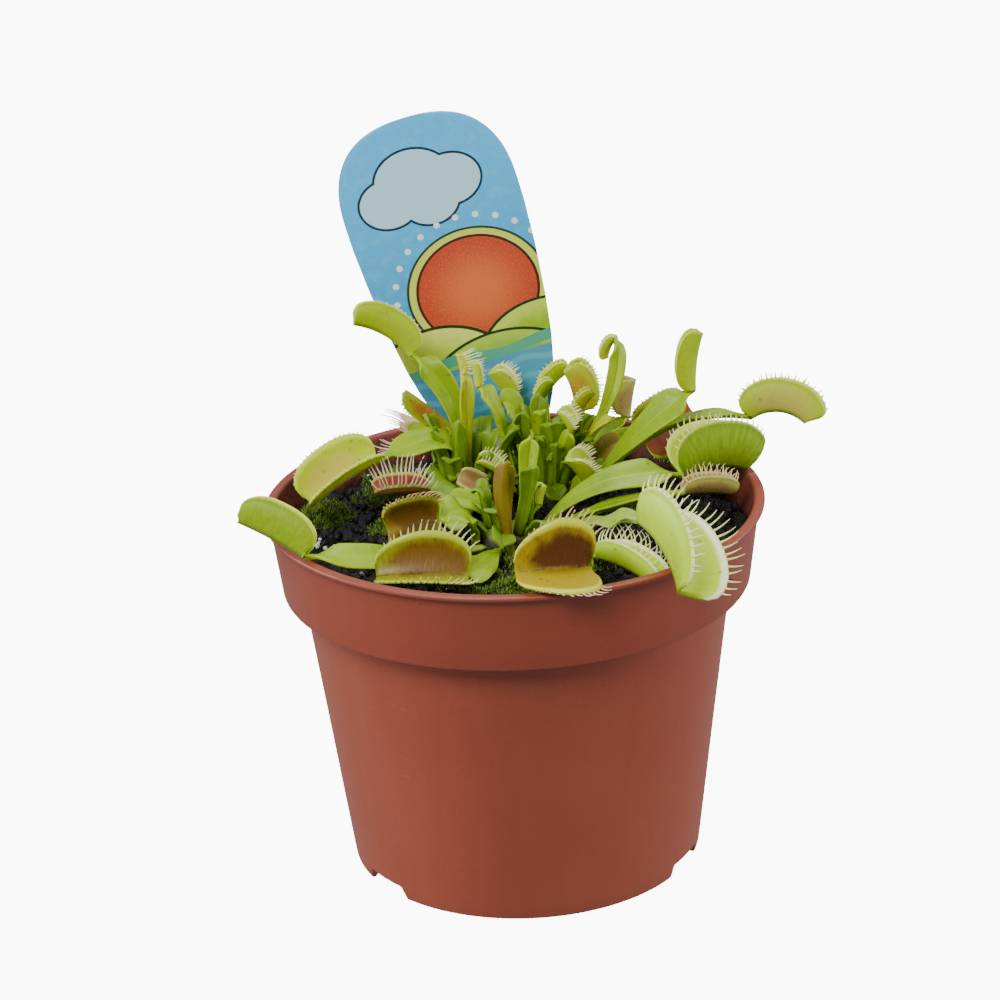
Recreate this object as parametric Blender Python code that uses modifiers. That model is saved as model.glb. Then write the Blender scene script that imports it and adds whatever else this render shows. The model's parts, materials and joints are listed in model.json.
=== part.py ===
"""A venus flytrap in a nine-centimetre nursery pot, with a tongue-shaped plant label.

+Z up, on z = 0, with the label at the back (+Y).  The origin is below the middle of the
whole plant; everything is laid out round the pot's own axis, which an empty carries.
Lengths below are millimetres and angles degrees; objects are made in metres.
Each leaf is one sheet: a winged petiole along an arching spine, a short neck, and a
trap of two bowed lobes along a bent midrib, given thickness and joined with its teeth.
"""
from math import cos, pi, radians, sin

import bmesh
import bpy
import numpy as np
from mathutils import Matrix, Vector

MM = 0.001

# the pot's axis, seen from the middle of the whole plant's outline
POT_AXIS = (-4.5, 1.4)

# pot: outside radii and heights of a 9 cm nursery pot
POT_HEIGHT = 68.0
RIM_RADIUS = 45.0
RIM_THICK = 0.9
COLLAR_TOP_RADIUS = 44.0
COLLAR_LOW_RADIUS = 42.3
COLLAR_LOW_Z = 53.2
BODY_TOP_RADIUS = 38.8
BASE_RADIUS = 32.1
WALL = 1.0
FLOOR_Z = 3.0
FLOOR_THICK = 1.0
POT_STEPS = 60
NOTCH_ANGLES = (-144.0, -27.0, 93.0)
NOTCH_WIDTH = 10.0
NOTCH_HEIGHT = 2.4
DRAIN_HOLES = 6
DRAIN_RADIUS = 3.0
DRAIN_CIRCLE = 20.0

# soil
SOIL_Z = 61.0
SOIL_GAP = 0.3
SOIL_BUMP = 0.45
SOIL_SEGMENTS = 40
SOIL_RINGS = 6

# crowns: short dome-topped rhizomes standing in plain holes
CROWNS = {"front": (-1.0, -5.0), "back": (7.0, 17.0), "left": (-8.0, 14.0)}
CROWN_RADIUS = 5.0
CROWN_DOME = 4.0
CROWN_DEPTH = 6.0
HOLE_GAP = 0.3

# label
LABEL_BASE = (-2.1, 34.0, 72.6)
LABEL_LEAN = 14.5
LABEL_THICK = 0.7
LABEL_HALF_WIDTH = 16.6
LABEL_SHOULDER = 42.0
LABEL_DOME = 17.3
STAKE_HALF_WIDTH = 5.0
STAKE_LENGTH = 24.0

# leaves
LEAF_THICK = 0.8
TOOTH_RADIUS = 0.27
TOOTH_SINK = 1.0
HINGE_GAP = 0.9


def material(name, rgb, roughness):
    """A plain Principled material."""
    mat = bpy.data.materials.new(name)
    mat.use_nodes = True
    shader = mat.node_tree.nodes["Principled BSDF"]
    shader.inputs["Base Color"].default_value = (*rgb, 1.0)
    shader.inputs["Roughness"].default_value = roughness
    mat.diffuse_color = (*rgb, 1.0)
    return mat


def add_object(name, mesh, mat=None, collection=None):
    """Put a mesh in the scene under a name."""
    obj = bpy.data.objects.new(name, mesh)
    (collection or bpy.context.scene.collection).objects.link(obj)
    if mat:
        mesh.materials.append(mat)
    return obj


def smooth(obj):
    """Shade every face of an object smooth."""
    for poly in obj.data.polygons:
        poly.use_smooth = True


def turned(name, profile, steps, mat, collection=None):
    """Revolve a closed or axis-to-axis (radius, height) profile with a Screw modifier."""
    mesh = bpy.data.meshes.new(name)
    points = [(r * MM, 0.0, z * MM) for r, z in profile]
    count = len(points)
    closed = profile[0][0] > 0
    edges = [(i, i + 1) for i in range(count - 1)]
    if closed:
        edges.append((count - 1, 0))
    mesh.from_pydata(points, edges, [])
    obj = add_object(name, mesh, mat, collection)
    screw = obj.modifiers.new("turn", "SCREW")
    screw.axis = "Z"
    screw.steps = steps
    screw.render_steps = steps
    screw.use_merge_vertices = True
    screw.merge_threshold = 1e-6
    screw.use_normal_calculate = True
    return obj


def cutter(obj):
    """Mark an object as a hidden cutting body."""
    obj.display_type = "WIRE"
    obj.hide_render = True
    obj.hide_viewport = False
    return obj


def boolean(obj, tool, operation="DIFFERENCE"):
    """Add an exact Boolean of one object on another."""
    mod = obj.modifiers.new(tool.name, "BOOLEAN")
    mod.operation = operation
    mod.solver = "EXACT"
    mod.object = tool
    return mod


def box_mesh(name, size, transform):
    """A box of a size in mm, placed by a matrix in metres."""
    bm = bmesh.new()
    bmesh.ops.create_cube(bm, size=1.0)
    bmesh.ops.scale(bm, vec=Vector(size) * MM, verts=bm.verts)
    bmesh.ops.transform(bm, matrix=transform, verts=bm.verts)
    mesh = bpy.data.meshes.new(name)
    bm.to_mesh(mesh)
    bm.free()
    return mesh


def cylinder_mesh(name, radius, low, high, x, y, sides=32):
    """An upright cylinder between two heights, in mm."""
    bm = bmesh.new()
    bmesh.ops.create_cone(bm, cap_ends=True, segments=sides, radius1=radius * MM,
                          radius2=radius * MM, depth=(high - low) * MM)
    bmesh.ops.translate(bm, vec=Vector((x, y, (low + high) / 2)) * MM, verts=bm.verts)
    mesh = bpy.data.meshes.new(name)
    bm.to_mesh(mesh)
    bm.free()
    return mesh


# ---------------------------------------------------------------- pot


def inner_radius(z):
    """Radius of the pot's inner wall at a height."""
    ledge = COLLAR_LOW_Z + WALL
    if z < ledge:
        part = (z - 0.0) / COLLAR_LOW_Z
        return BASE_RADIUS + (BODY_TOP_RADIUS - BASE_RADIUS) * part - WALL
    part = (z - COLLAR_LOW_Z) / (POT_HEIGHT - COLLAR_LOW_Z)
    return COLLAR_LOW_RADIUS + (COLLAR_TOP_RADIUS - COLLAR_LOW_RADIUS) * part - WALL


def make_pot(cutters):
    """The pot: turned shell with a stepped collar, foot ring, notches and drain holes."""
    top = POT_HEIGHT
    ledge = COLLAR_LOW_Z + WALL
    profile = [
        (BASE_RADIUS, 0.0),
        (BODY_TOP_RADIUS, COLLAR_LOW_Z),
        (COLLAR_LOW_RADIUS - 0.7, COLLAR_LOW_Z),
        (COLLAR_LOW_RADIUS, COLLAR_LOW_Z + 0.7),
        (COLLAR_TOP_RADIUS, top - RIM_THICK),
        (RIM_RADIUS, top - RIM_THICK + 0.15),
        (RIM_RADIUS, top - 0.25),
        (RIM_RADIUS - 0.3, top),
        (COLLAR_TOP_RADIUS - WALL + 0.3, top),
        (COLLAR_TOP_RADIUS - WALL, top - 0.4),
        (inner_radius(ledge), ledge),
        (inner_radius(ledge - 0.01), ledge),
        (inner_radius(FLOOR_Z + FLOOR_THICK), FLOOR_Z + FLOOR_THICK),
        (0.0, FLOOR_Z + FLOOR_THICK),
    ]
    under = [
        (0.0, FLOOR_Z),
        (inner_radius(FLOOR_Z), FLOOR_Z),
        (inner_radius(0.0), 0.0),
    ]
    outline = under + profile
    pot = turned("pot", outline, POT_STEPS, material("pot_plastic", (0.42, 0.13, 0.06), 0.5))
    mid = BASE_RADIUS - 1.0
    for index, angle in enumerate(NOTCH_ANGLES):
        place = (Matrix.Rotation(radians(angle), 4, "Z")
                 @ Matrix.Translation(Vector((mid, 0, NOTCH_HEIGHT / 2 - 1.0)) * MM))
        mesh = box_mesh(f"notch_{index}", (6.0, NOTCH_WIDTH, NOTCH_HEIGHT + 2.0), place)
        tool = cutter(add_object(f"notch_{index}", mesh, None, cutters))
        bevel = tool.modifiers.new("round", "BEVEL")
        bevel.width = 0.9 * MM
        bevel.segments = 1
        boolean(pot, tool)
    for index in range(DRAIN_HOLES):
        angle = 2 * pi * (index + 0.5) / DRAIN_HOLES
        mesh = cylinder_mesh(f"drain_{index}", DRAIN_RADIUS, FLOOR_Z - 2, FLOOR_Z + FLOOR_THICK + 2,
                             DRAIN_CIRCLE * cos(angle), DRAIN_CIRCLE * sin(angle), 16)
        boolean(pot, cutter(add_object(f"drain_{index}", mesh, None, cutters)))
    smooth(pot)
    return pot


# ---------------------------------------------------------------- soil


def soil_height(x, y):
    """Height of the uneven soil: a sum of slow waves, calm at the crowns and the wall."""
    wave = sin(0.31 * x + 1.3) * cos(0.27 * y - 0.4) + 0.6 * sin(0.53 * x - 0.47 * y + 2.1)
    calm = 1.0
    for cx, cy in CROWNS.values():
        far = ((x - cx) ** 2 + (y - cy) ** 2) ** 0.5
        calm = min(calm, max(0.0, (far - 6.0) / 8.0))
    return SOIL_Z + SOIL_BUMP * wave * min(1.0, calm)


def make_soil(cutters):
    """The soil: a plug filling the pot, with an uneven top and plain holes."""
    ledge = COLLAR_LOW_Z + WALL
    top_radius = inner_radius(SOIL_Z) - SOIL_GAP
    rings = []
    for ring in range(1, SOIL_RINGS + 1):
        r = top_radius * ring / SOIL_RINGS
        rings.append([(r, None)])
    levels = [
        (inner_radius(ledge) - SOIL_GAP, ledge + SOIL_GAP),
        (inner_radius(ledge - 0.01) - SOIL_GAP, ledge + SOIL_GAP),
        (inner_radius(FLOOR_Z + FLOOR_THICK + SOIL_GAP) - SOIL_GAP, FLOOR_Z + FLOOR_THICK + SOIL_GAP),
    ]
    bm = bmesh.new()
    centre = bm.verts.new(Vector((0, 0, soil_height(0, 0))) * MM)
    loops = []
    for (r, _none), in rings:
        loop = []
        for k in range(SOIL_SEGMENTS):
            a = 2 * pi * k / SOIL_SEGMENTS
            x, y = r * cos(a), r * sin(a)
            loop.append(bm.verts.new(Vector((x, y, soil_height(x, y))) * MM))
        loops.append(loop)
    for r, z in levels:
        loop = []
        for k in range(SOIL_SEGMENTS):
            a = 2 * pi * k / SOIL_SEGMENTS
            loop.append(bm.verts.new(Vector((r * cos(a), r * sin(a), z)) * MM))
        loops.append(loop)
    for k in range(SOIL_SEGMENTS):
        nxt = (k + 1) % SOIL_SEGMENTS
        bm.faces.new((centre, loops[0][k], loops[0][nxt]))
        for low, high in zip(loops[:-1], loops[1:]):
            bm.faces.new((low[k], high[k], high[nxt]))
            bm.faces.new((low[k], high[nxt], low[nxt]))
    bm.faces.new(list(reversed(loops[-1])))
    bmesh.ops.recalc_face_normals(bm, faces=bm.faces)
    mesh = bpy.data.meshes.new("soil")
    bm.to_mesh(mesh)
    bm.free()
    soil = add_object("soil", mesh, material("peat", (0.02, 0.015, 0.01), 0.95))
    for name, (x, y) in CROWNS.items():
        hole = cylinder_mesh(f"hole_{name}", CROWN_RADIUS + HOLE_GAP, SOIL_Z - CROWN_DEPTH - HOLE_GAP,
                             SOIL_Z + 6, x, y, 24)
        boolean(soil, cutter(add_object(f"hole_{name}", hole, None, cutters)))
    length = STAKE_LENGTH + HOLE_GAP
    place = label_frame() @ Matrix.Translation(Vector((0, 0, -length / 2)) * MM)
    size = (2 * (STAKE_HALF_WIDTH + HOLE_GAP), LABEL_THICK + 2 * HOLE_GAP, length)
    slot = box_mesh("slot_label", size, place)
    boolean(soil, cutter(add_object("slot_label", slot, None, cutters)))
    return soil


# ---------------------------------------------------------------- label


def label_frame():
    """Frame of the label: x across, y through, z along its leaning axis."""
    return (Matrix.Translation(Vector(LABEL_BASE) * MM)
            @ Matrix.Rotation(radians(-LABEL_LEAN), 4, "Y"))


def label_half_width(v):
    """Half width at a distance along the axis above the base point."""
    knots = (-STAKE_LENGTH, -STAKE_LENGTH + 5, -5.5, -2.5, 1.0, 7.0, 12.0, 19.0, 29.0, 38.0, LABEL_SHOULDER)
    widths = (2.5, STAKE_HALF_WIDTH, STAKE_HALF_WIDTH, 9.5, 11.2, 13.0, 14.1, 15.1, 16.1,
              LABEL_HALF_WIDTH, LABEL_HALF_WIDTH)
    return float(np.interp(v, knots, widths))


def make_label():
    """The label: a flat tongue with a blunt dome, tapering to a stake."""
    steps = (-STAKE_LENGTH, -STAKE_LENGTH + 5, -5.5, -2.5, 1.0, 7.0, 12.0, 19.0, 29.0, 38.0)
    right = [(label_half_width(v), v) for v in steps]
    dome = []
    for k in range(25):
        t = pi * k / 24
        c, s = cos(t), sin(t)
        x = LABEL_HALF_WIDTH * (abs(c) ** 0.8) * (1 if c >= 0 else -1)
        dome.append((x, LABEL_SHOULDER + LABEL_DOME * max(s, 0.0) ** 0.8))
    left = [(-x, v) for x, v in reversed(right)]
    bm = bmesh.new()
    verts = [bm.verts.new(Vector((x, 0.0, v)) * MM) for x, v in right + dome + left]
    bm.faces.new(verts)
    bmesh.ops.transform(bm, matrix=label_frame(), verts=bm.verts)
    mesh = bpy.data.meshes.new("plant_label")
    bm.to_mesh(mesh)
    bm.free()
    label = add_object("plant_label", mesh, material("label_card", (0.2, 0.5, 0.75), 0.4))
    thick = label.modifiers.new("thick", "SOLIDIFY")
    thick.thickness = LABEL_THICK * MM
    thick.offset = 0.0
    return label


# ---------------------------------------------------------------- crowns


def make_crown(name, x, y):
    """A short rhizome with a domed top, standing in its hole."""
    profile = [
        (0.0, SOIL_Z - CROWN_DEPTH),
        (CROWN_RADIUS - 0.4, SOIL_Z - CROWN_DEPTH),
        (CROWN_RADIUS, SOIL_Z - CROWN_DEPTH + 2.0),
        (CROWN_RADIUS, SOIL_Z + 0.45 * CROWN_DOME),
        (0.8 * CROWN_RADIUS, SOIL_Z + 0.8 * CROWN_DOME),
        (0.35 * CROWN_RADIUS, SOIL_Z + 0.97 * CROWN_DOME),
        (0.0, SOIL_Z + CROWN_DOME),
    ]
    crown = turned(name, profile, 16, material(name + "_skin", (0.35, 0.45, 0.12), 0.7))
    crown.location = (x * MM, y * MM, 0.0)
    smooth(crown)
    return crown


# ---------------------------------------------------------------- leaves


def unit(v):
    """Vectors of length one."""
    v = np.asarray(v, float)
    return v / np.linalg.norm(v, axis=-1, keepdims=True)


def spine(p, t):
    """Quadratic Bezier from the crown to the hinge, with its tangents."""
    cx, cy = CROWNS[p["crown"]]
    h = radians(p["turn"])
    out = np.array([cos(h), sin(h), 0.0])
    side = np.array([-sin(h), cos(h), 0.0])
    b = h + radians(p["veer"])
    start = np.array([cx + p["root"] * cos(b), cy + p["root"] * sin(b), SOIL_Z + p["foot"]])
    end = np.array([cx, cy, SOIL_Z + p["rise"]]) + out * p["reach"]
    pull = np.array([0.0, 0.0, p["arch"]]) + side * p["sway"] - out * p["lean"]
    middle = (start + end) / 2 + 2 * pull
    t = t[:, None]
    centre = (1 - t) ** 2 * start + 2 * t * (1 - t) * middle + t * t * end
    tangent = unit(2 * (1 - t) * (middle - start) + 2 * t * (end - middle))
    across = unit(side - tangent * (tangent @ side)[:, None])
    return centre, tangent, across


def arc(first, turn, v):
    """Point at v along an arc of unit length leaving at one angle and turning."""
    if abs(turn) < 1e-6:
        return cos(first) * v, sin(first) * v
    return (np.sin(first + turn * v) - sin(first)) / turn, (cos(first) - np.cos(first + turn * v)) / turn


def petiole_half_width(p, t):
    """Narrow at the foot, widest at three quarters, drawn in at the neck."""
    grow = np.clip(t / 0.72, 0, 1)
    grow = grow * grow * (3 - 2 * grow)
    width = p["base"] / 2 + (p["wing"] - p["base"]) / 2 * grow
    close = np.clip((t - 0.80) / 0.14, 0, 1)
    width = width * np.sqrt(np.clip(1 - close ** 2.6, 0, 1))
    return np.maximum(width, p["neck"] / 2)


def lobe_height(p, s):
    """Height of a trap lobe along the midrib: full near the hinge, blunt at the tip."""
    top = p["trap"] * p["lobe"]
    near = top * np.clip(1 - np.abs(2 * s - 1) ** 2.5, 0, 1) ** 0.4545
    x = np.clip(2 * s - 1, 0, 1)
    far = top * (p["blunt"] + (1 - p["blunt"]) * (1 - x ** p["taper"]) ** 0.6)
    return np.maximum(np.where(s < 0.5, near, far), p["neck"] / 2)


def trap_frame(p, s):
    """Points of the bent midrib from the hinge, with the across and mouth directions."""
    a, e, r = radians(p["aim"]), radians(p["lift"]), radians(p["mouth"])
    along = np.array([cos(a) * cos(e), sin(a) * cos(e), sin(e)])
    flat = np.array([-sin(a), cos(a), 0.0])
    up = np.cross(along, flat)
    across = flat * cos(r) + up * sin(r)
    mouth = up * cos(r) - flat * sin(r)
    count = 64
    phase = radians(p["curve"]) * ((np.arange(count) + 0.5) / count - 0.5)
    step = (along * np.cos(phase)[:, None] - mouth * np.sin(phase)[:, None]) * p["trap"] / count
    path = np.vstack([np.zeros(3), np.cumsum(step, 0)])
    at = np.linspace(0, 1, count + 1)
    centre = np.stack([np.interp(s, at, path[:, k]) for k in range(3)], -1)
    lean = radians(p["curve"] + p["fan"]) * (s - 0.5) - radians(p["slant"])
    opening = mouth * np.cos(lean)[:, None] + along * np.sin(lean)[:, None]
    return centre, np.broadcast_to(across, opening.shape), opening


def turn_towards(across, normal, last_across, last_normal, share):
    """Rows of frames turned by a growing share of the rotation that takes the last row to a frame."""
    first = np.stack([across[-1], normal[-1], np.cross(across[-1], normal[-1])])
    last = np.stack([last_across, last_normal, np.cross(last_across, last_normal)])
    whole = last.T @ first
    angle = np.arccos(np.clip((np.trace(whole) - 1) / 2, -1, 1))
    axis = unit(np.array([whole[2, 1] - whole[1, 2], whole[0, 2] - whole[2, 0], whole[1, 0] - whole[0, 1]])
                + 1e-9)
    part = (angle * share)[:, None]

    def turned_rows(v):
        return (v * np.cos(part) + np.cross(axis, v) * np.sin(part)
                + axis * (v @ axis)[:, None] * (1 - np.cos(part)))

    return turned_rows(across), turned_rows(normal)


def leaf_sheet(p, t, s, columns):
    """Rows of points across the leaf: petiole rows at t, then trap rows at s."""
    v = np.linspace(-1, 1, 2 * columns + 1)
    sign = np.sign(v)
    mag = np.abs(v)
    centre, tangent, across = spine(p, t)
    normal = np.cross(tangent, across)
    twist = np.radians(p["twist"]) * t
    turned_across = across * np.cos(twist)[:, None] + normal * np.sin(twist)[:, None]
    turned_normal = normal * np.cos(twist)[:, None] - across * np.sin(twist)[:, None]
    if p["trap"]:
        _c, trap_across, trap_mouth = trap_frame(p, np.zeros(1))
        share = np.clip((t - p["turning"]) / (1 - p["turning"]), 0, 1)
        turned_across, turned_normal = turn_towards(
            turned_across, turned_normal, trap_across[0], trap_mouth[0], share * share * (3 - 2 * share))
    x, y = arc(radians(p["fold"]), -radians(12), mag)
    half = petiole_half_width(p, t)[:, None, None]
    rows = (centre[:, None] + turned_across[:, None] * (sign * x)[None, :, None] * half
            + turned_normal[:, None] * y[None, :, None] * half)
    if not p["trap"]:
        return rows
    midrib, across, mouth = trap_frame(p, s)
    midrib = midrib + centre[-1]
    first = radians(90 - p["gape"] / 2 - p["bulge"] / 2)
    x, y = arc(first, radians(p["bulge"]), mag)
    high = lobe_height(p, s)[:, None, None]
    spread = (sign * np.sin(mag * pi / 2))[None, :, None] * 0.5
    lobes = (midrib[:, None] + across[:, None] * ((sign * x)[None, :, None] * high + spread)
             + mouth[:, None] * y[None, :, None] * high)
    return np.concatenate([rows, lobes])


def tooth_mesh(name, root, tip):
    """One three-sided tooth from a root to a tip, in mm."""
    direction = Vector(tip - root)
    bm = bmesh.new()
    bmesh.ops.create_cone(bm, cap_ends=True, segments=3, radius1=TOOTH_RADIUS * MM,
                          radius2=0.0, depth=direction.length * MM)
    place = Matrix.Translation(Vector((root + tip) / 2) * MM)
    place = place @ direction.to_track_quat("Z", "Y").to_matrix().to_4x4()
    bmesh.ops.transform(bm, matrix=place, verts=bm.verts)
    mesh = bpy.data.meshes.new(name)
    bm.to_mesh(mesh)
    bm.free()
    return mesh


def margin_teeth(p, grid, first_row):
    """Roots and tips of the teeth along both margins of the trap rows."""
    result = []
    rows = grid[first_row:]
    length = np.linspace(0, 1, len(rows))
    count = int(p["teeth"])
    for edge, inner in ((0, 1), (-1, -2)):
        margin = rows[:, edge]
        inward = rows[:, inner]
        for k in range(count):
            q = 0.06 + 0.88 * (k + 0.5) / count
            point = np.array([np.interp(q, length, margin[:, i]) for i in range(3)])
            below = np.array([np.interp(q, length, inward[:, i]) for i in range(3)])
            direction = unit(point - below)
            size = p["tooth"] * (0.65 + 0.35 * sin(pi * q))
            result.append((point - direction * TOOTH_SINK, point + direction * size))
    return result


def apply_modifiers(obj):
    """Replace an object's mesh with its evaluated mesh."""
    graph = bpy.context.evaluated_depsgraph_get()
    mesh = bpy.data.meshes.new_from_object(obj.evaluated_get(graph))
    obj.modifiers.clear()
    old = obj.data
    obj.data = mesh
    bpy.data.meshes.remove(old)


LEAF_DEFAULTS = dict(
    crown="front", turn=0.0, veer=0.0, reach=30.0, rise=6.0, root=6.1, foot=1.3, arch=4.0, sway=0.0,
    lean=0.0, wing=5.0, fold=20.0, twist=0.0, base=1.8, neck=1.3, trap=0.0, aim=0.0,
    lift=0.0, mouth=0.0, gape=30.0, bulge=50.0, lobe=0.5, blunt=0.5, curve=20.0, fan=30.0,
    slant=0.0, taper=3.0, tooth=0.0, teeth=0, rows=5, steps=6, turning=0.78)


def leaf(name, **given):
    """One leaf: petiole, neck, trap and teeth as a single body."""
    p = dict(LEAF_DEFAULTS)
    p.update(given)
    blade = np.linspace(0, 0.76, int(p["rows"]))
    t = np.concatenate([blade, [0.86, 0.94, 1.0] if p["rows"] > 4 else [0.89, 1.0]])
    near = HINGE_GAP / max(p["trap"], 1.0)
    s = near + (1 - near) * np.linspace(0, 1, int(p["steps"]) + 1) ** 1.1
    if not p["trap"]:
        t = np.concatenate([blade, [0.88, 1.0]])
        p["neck"] = 0.8
    grid = leaf_sheet(p, t, s, 2)
    count, wide = grid.shape[:2]
    bm = bmesh.new()
    bmesh.ops.create_grid(bm, x_segments=wide - 1, y_segments=count - 1, size=1.0)
    bm.verts.ensure_lookup_table()
    for vert, point in zip(bm.verts, grid.reshape(-1, 3)):
        vert.co = Vector(point) * MM
    bmesh.ops.triangulate(bm, faces=bm.faces, quad_method="FIXED")
    mesh = bpy.data.meshes.new(name)
    bm.to_mesh(mesh)
    bm.free()
    obj = add_object(name, mesh, material(name + "_skin", (0.38, 0.55, 0.08), 0.5))
    thick = obj.modifiers.new("thick", "SOLIDIFY")
    thick.thickness = LEAF_THICK * MM
    thick.offset = 0.0
    if p["trap"] and p["teeth"]:
        group = bpy.data.collections.new(name + "_teeth")
        bpy.context.scene.collection.children.link(group)
        for index, (root, tip) in enumerate(margin_teeth(p, grid, len(t))):
            label = f"{name}_tooth_{index}"
            add_object(label, tooth_mesh(label, root, tip), None, group)
        join = obj.modifiers.new("teeth", "BOOLEAN")
        join.operation = "UNION"
        join.operand_type = "COLLECTION"
        join.solver = "MANIFOLD"
        join.collection = group
        apply_modifiers(obj)
        for tooth in list(group.objects):
            bpy.data.objects.remove(tooth)
        bpy.data.collections.remove(group)
    smooth(obj)
    return obj


def make_leaves():
    """Every leaf, placed by its crown, heading, reach and rise."""
    leaf("leaf_front_centre", crown="front", turn=-68, veer=6, reach=34.8, rise=8.7, arch=1.5,
         wing=5, fold=15, trap=12.5, aim=-173, lift=0, mouth=-45, gape=92, bulge=15, lobe=0.66,
         blunt=0.22, curve=12, fan=40, slant=18, taper=1.2, tooth=1.5, teeth=9)
    leaf("leaf_front_left", crown="front", turn=-110, veer=0, reach=22.7, rise=3.2, arch=0.5,
         wing=7, fold=10, twist=-20, trap=15.5, aim=180, lift=2, mouth=-28, gape=84, bulge=50,
         lobe=0.48, blunt=0.3, curve=15, fan=40, slant=12, taper=1.5, tooth=3, teeth=10)
    leaf("leaf_far_left", crown="front", turn=-149.5, veer=8, reach=41, rise=8.2, arch=-0.5,
         sway=2, wing=6.5, fold=15, twist=-30, trap=13, aim=165, lift=27, mouth=22, gape=14,
         bulge=50, lobe=0.48, blunt=0.2, curve=10, fan=40, tooth=0, teeth=0)
    leaf("leaf_open_right", crown="front", turn=-43, veer=26, reach=30.4, rise=12, arch=1,
         sway=1.8, wing=5, fold=15, twist=20, trap=18.2, aim=-70, lift=-23, mouth=-46, gape=66,
         bulge=40, lobe=0.5, curve=36, fan=50, tooth=4.2, teeth=12)
    leaf("leaf_closed_right", crown="front", turn=-45, veer=5, reach=21.5, rise=3.4, arch=0.5,
         sway=-0.3, wing=7, fold=20, trap=16, aim=-52, lift=-4, mouth=-15, gape=30, bulge=50,
         lobe=0.28, curve=20, fan=30, tooth=3, teeth=10)
    leaf("leaf_red_upright", crown="front", turn=-88, veer=0, reach=7.2, rise=19, root=6.6,
         arch=0.5, sway=-1, wing=5, fold=50, base=1.4, trap=0, rows=4)
    leaf("leaf_narrow_up", crown="front", turn=54, veer=6, reach=7.8, rise=18.4, arch=1.6, wing=4,
         fold=35, twist=30, trap=0, rows=4)
    leaf("leaf_strap", crown="front", turn=13.5, veer=14, reach=32.5, rise=9, arch=3.8, lean=2,
         wing=7, fold=15, twist=35, trap=13, aim=20, lift=-4, mouth=-17, gape=35, bulge=60,
         lobe=0.7, curve=35, fan=40, tooth=3, teeth=10)
    leaf("leaf_withered_right", crown="front", turn=5, veer=0, reach=31.3, rise=7.6, arch=1,
         sway=1, lean=1, wing=3, fold=30, trap=10, aim=19, lift=-10, mouth=0, gape=20, bulge=50,
         lobe=0.35, curve=10, fan=30, tooth=3, teeth=7)
    leaf("leaf_upright_right", crown="back", turn=-7, veer=-17, reach=26.8, rise=21.3, arch=2.5,
         sway=-1, lean=-1, wing=6.5, fold=20, twist=65, trap=11, aim=0, lift=82, mouth=0, gape=18,
         bulge=50, lobe=0.33, blunt=0.3, curve=20, fan=30, tooth=0, teeth=0)
    leaf("leaf_far_right", crown="back", turn=2, veer=0, reach=37.5, rise=13.8, arch=4.8, sway=0.5,
         wing=4, fold=25, trap=11, aim=-15, lift=-3, mouth=-18, gape=18, bulge=50, lobe=0.56,
         curve=78, fan=60, tooth=1.5, teeth=12)
    leaf("leaf_tall", crown="back", turn=5, veer=27, reach=12.9, rise=30.5, root=3, foot=4.7,
         arch=1.8, sway=-2.7, lean=-3.6, wing=3.6, fold=30, twist=80, base=1.4, trap=4.5, aim=180,
         lift=-65, mouth=0, gape=18, bulge=50, lobe=0.35, curve=40, fan=20, tooth=0, teeth=0,
         rows=4, steps=4)
    leaf("leaf_red_inside", crown="back", turn=31, veer=19, reach=21, rise=7, arch=3, wing=4,
         twist=90, trap=10.5, aim=0, lift=32, mouth=75, gape=110, bulge=30, lobe=0.6, curve=20,
         fan=30, tooth=1.5, teeth=10)
    leaf("leaf_brown_closed", crown="back", turn=46, veer=26, reach=22.3, rise=9.6, arch=1, sway=0,
         lean=-1.5, wing=3.6, trap=7.5, aim=10, lift=80, mouth=0, gape=35, bulge=60, lobe=0.55,
         curve=10, fan=-10, tooth=2, teeth=7)
    leaf("leaf_orange_closed", crown="back", turn=53, veer=21, reach=9.2, rise=15, root=3,
         foot=4.7, arch=1.5, sway=0, lean=-0.5, wing=3.6, twist=160, base=1.4, trap=7.6, aim=180,
         lift=75, mouth=0, gape=30, bulge=70, lobe=0.68, curve=30, fan=30, tooth=1.5, teeth=8)
    leaf("leaf_green_small", crown="back", turn=91, veer=7, reach=14, rise=16, arch=2, wing=3.6,
         twist=-80, trap=6.5, aim=0, lift=42, mouth=0, gape=20, bulge=50, lobe=0.45, curve=10,
         fan=30, tooth=0, teeth=0, rows=4, steps=4)
    leaf("leaf_upper_left", crown="left", turn=141, veer=-33, reach=12.4, rise=27.3, arch=3.8,
         sway=-1.9, lean=2.7, wing=5, fold=25, twist=-60, trap=12.6, aim=180, lift=34, mouth=20,
         gape=18, bulge=50, lobe=0.41, curve=45, fan=8, tooth=1.2, teeth=12)
    leaf("leaf_wedge", crown="left", turn=100, veer=-22, reach=14.4, rise=10.2, arch=2, sway=-0.5,
         lean=-0.5, wing=4, fold=25, twist=-170, trap=12, aim=180, lift=42, mouth=180, gape=18,
         bulge=30, lobe=0.25, blunt=0.15, curve=-10, fan=0, tooth=1.2, teeth=8)
    leaf("leaf_pink_cilia", crown="left", turn=127, veer=26, reach=12, rise=11, arch=3, sway=-1.5,
         lean=-1.5, wing=4, fold=25, twist=80, trap=8, aim=-105, lift=5, mouth=75, gape=55,
         bulge=35, lobe=0.45, curve=10, fan=20, tooth=6.5, teeth=7, rows=4)
    leaf("leaf_large_left", crown="left", turn=-161.5, veer=-10, reach=17.3, rise=12, arch=6.7,
         sway=0.8, lean=7.8, wing=6.5, fold=15, twist=-30, trap=14.5, aim=-154, lift=-22,
         mouth=-20, gape=56, bulge=50, lobe=0.49, blunt=0.25, curve=30, fan=40, tooth=1.5, teeth=12)
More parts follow.
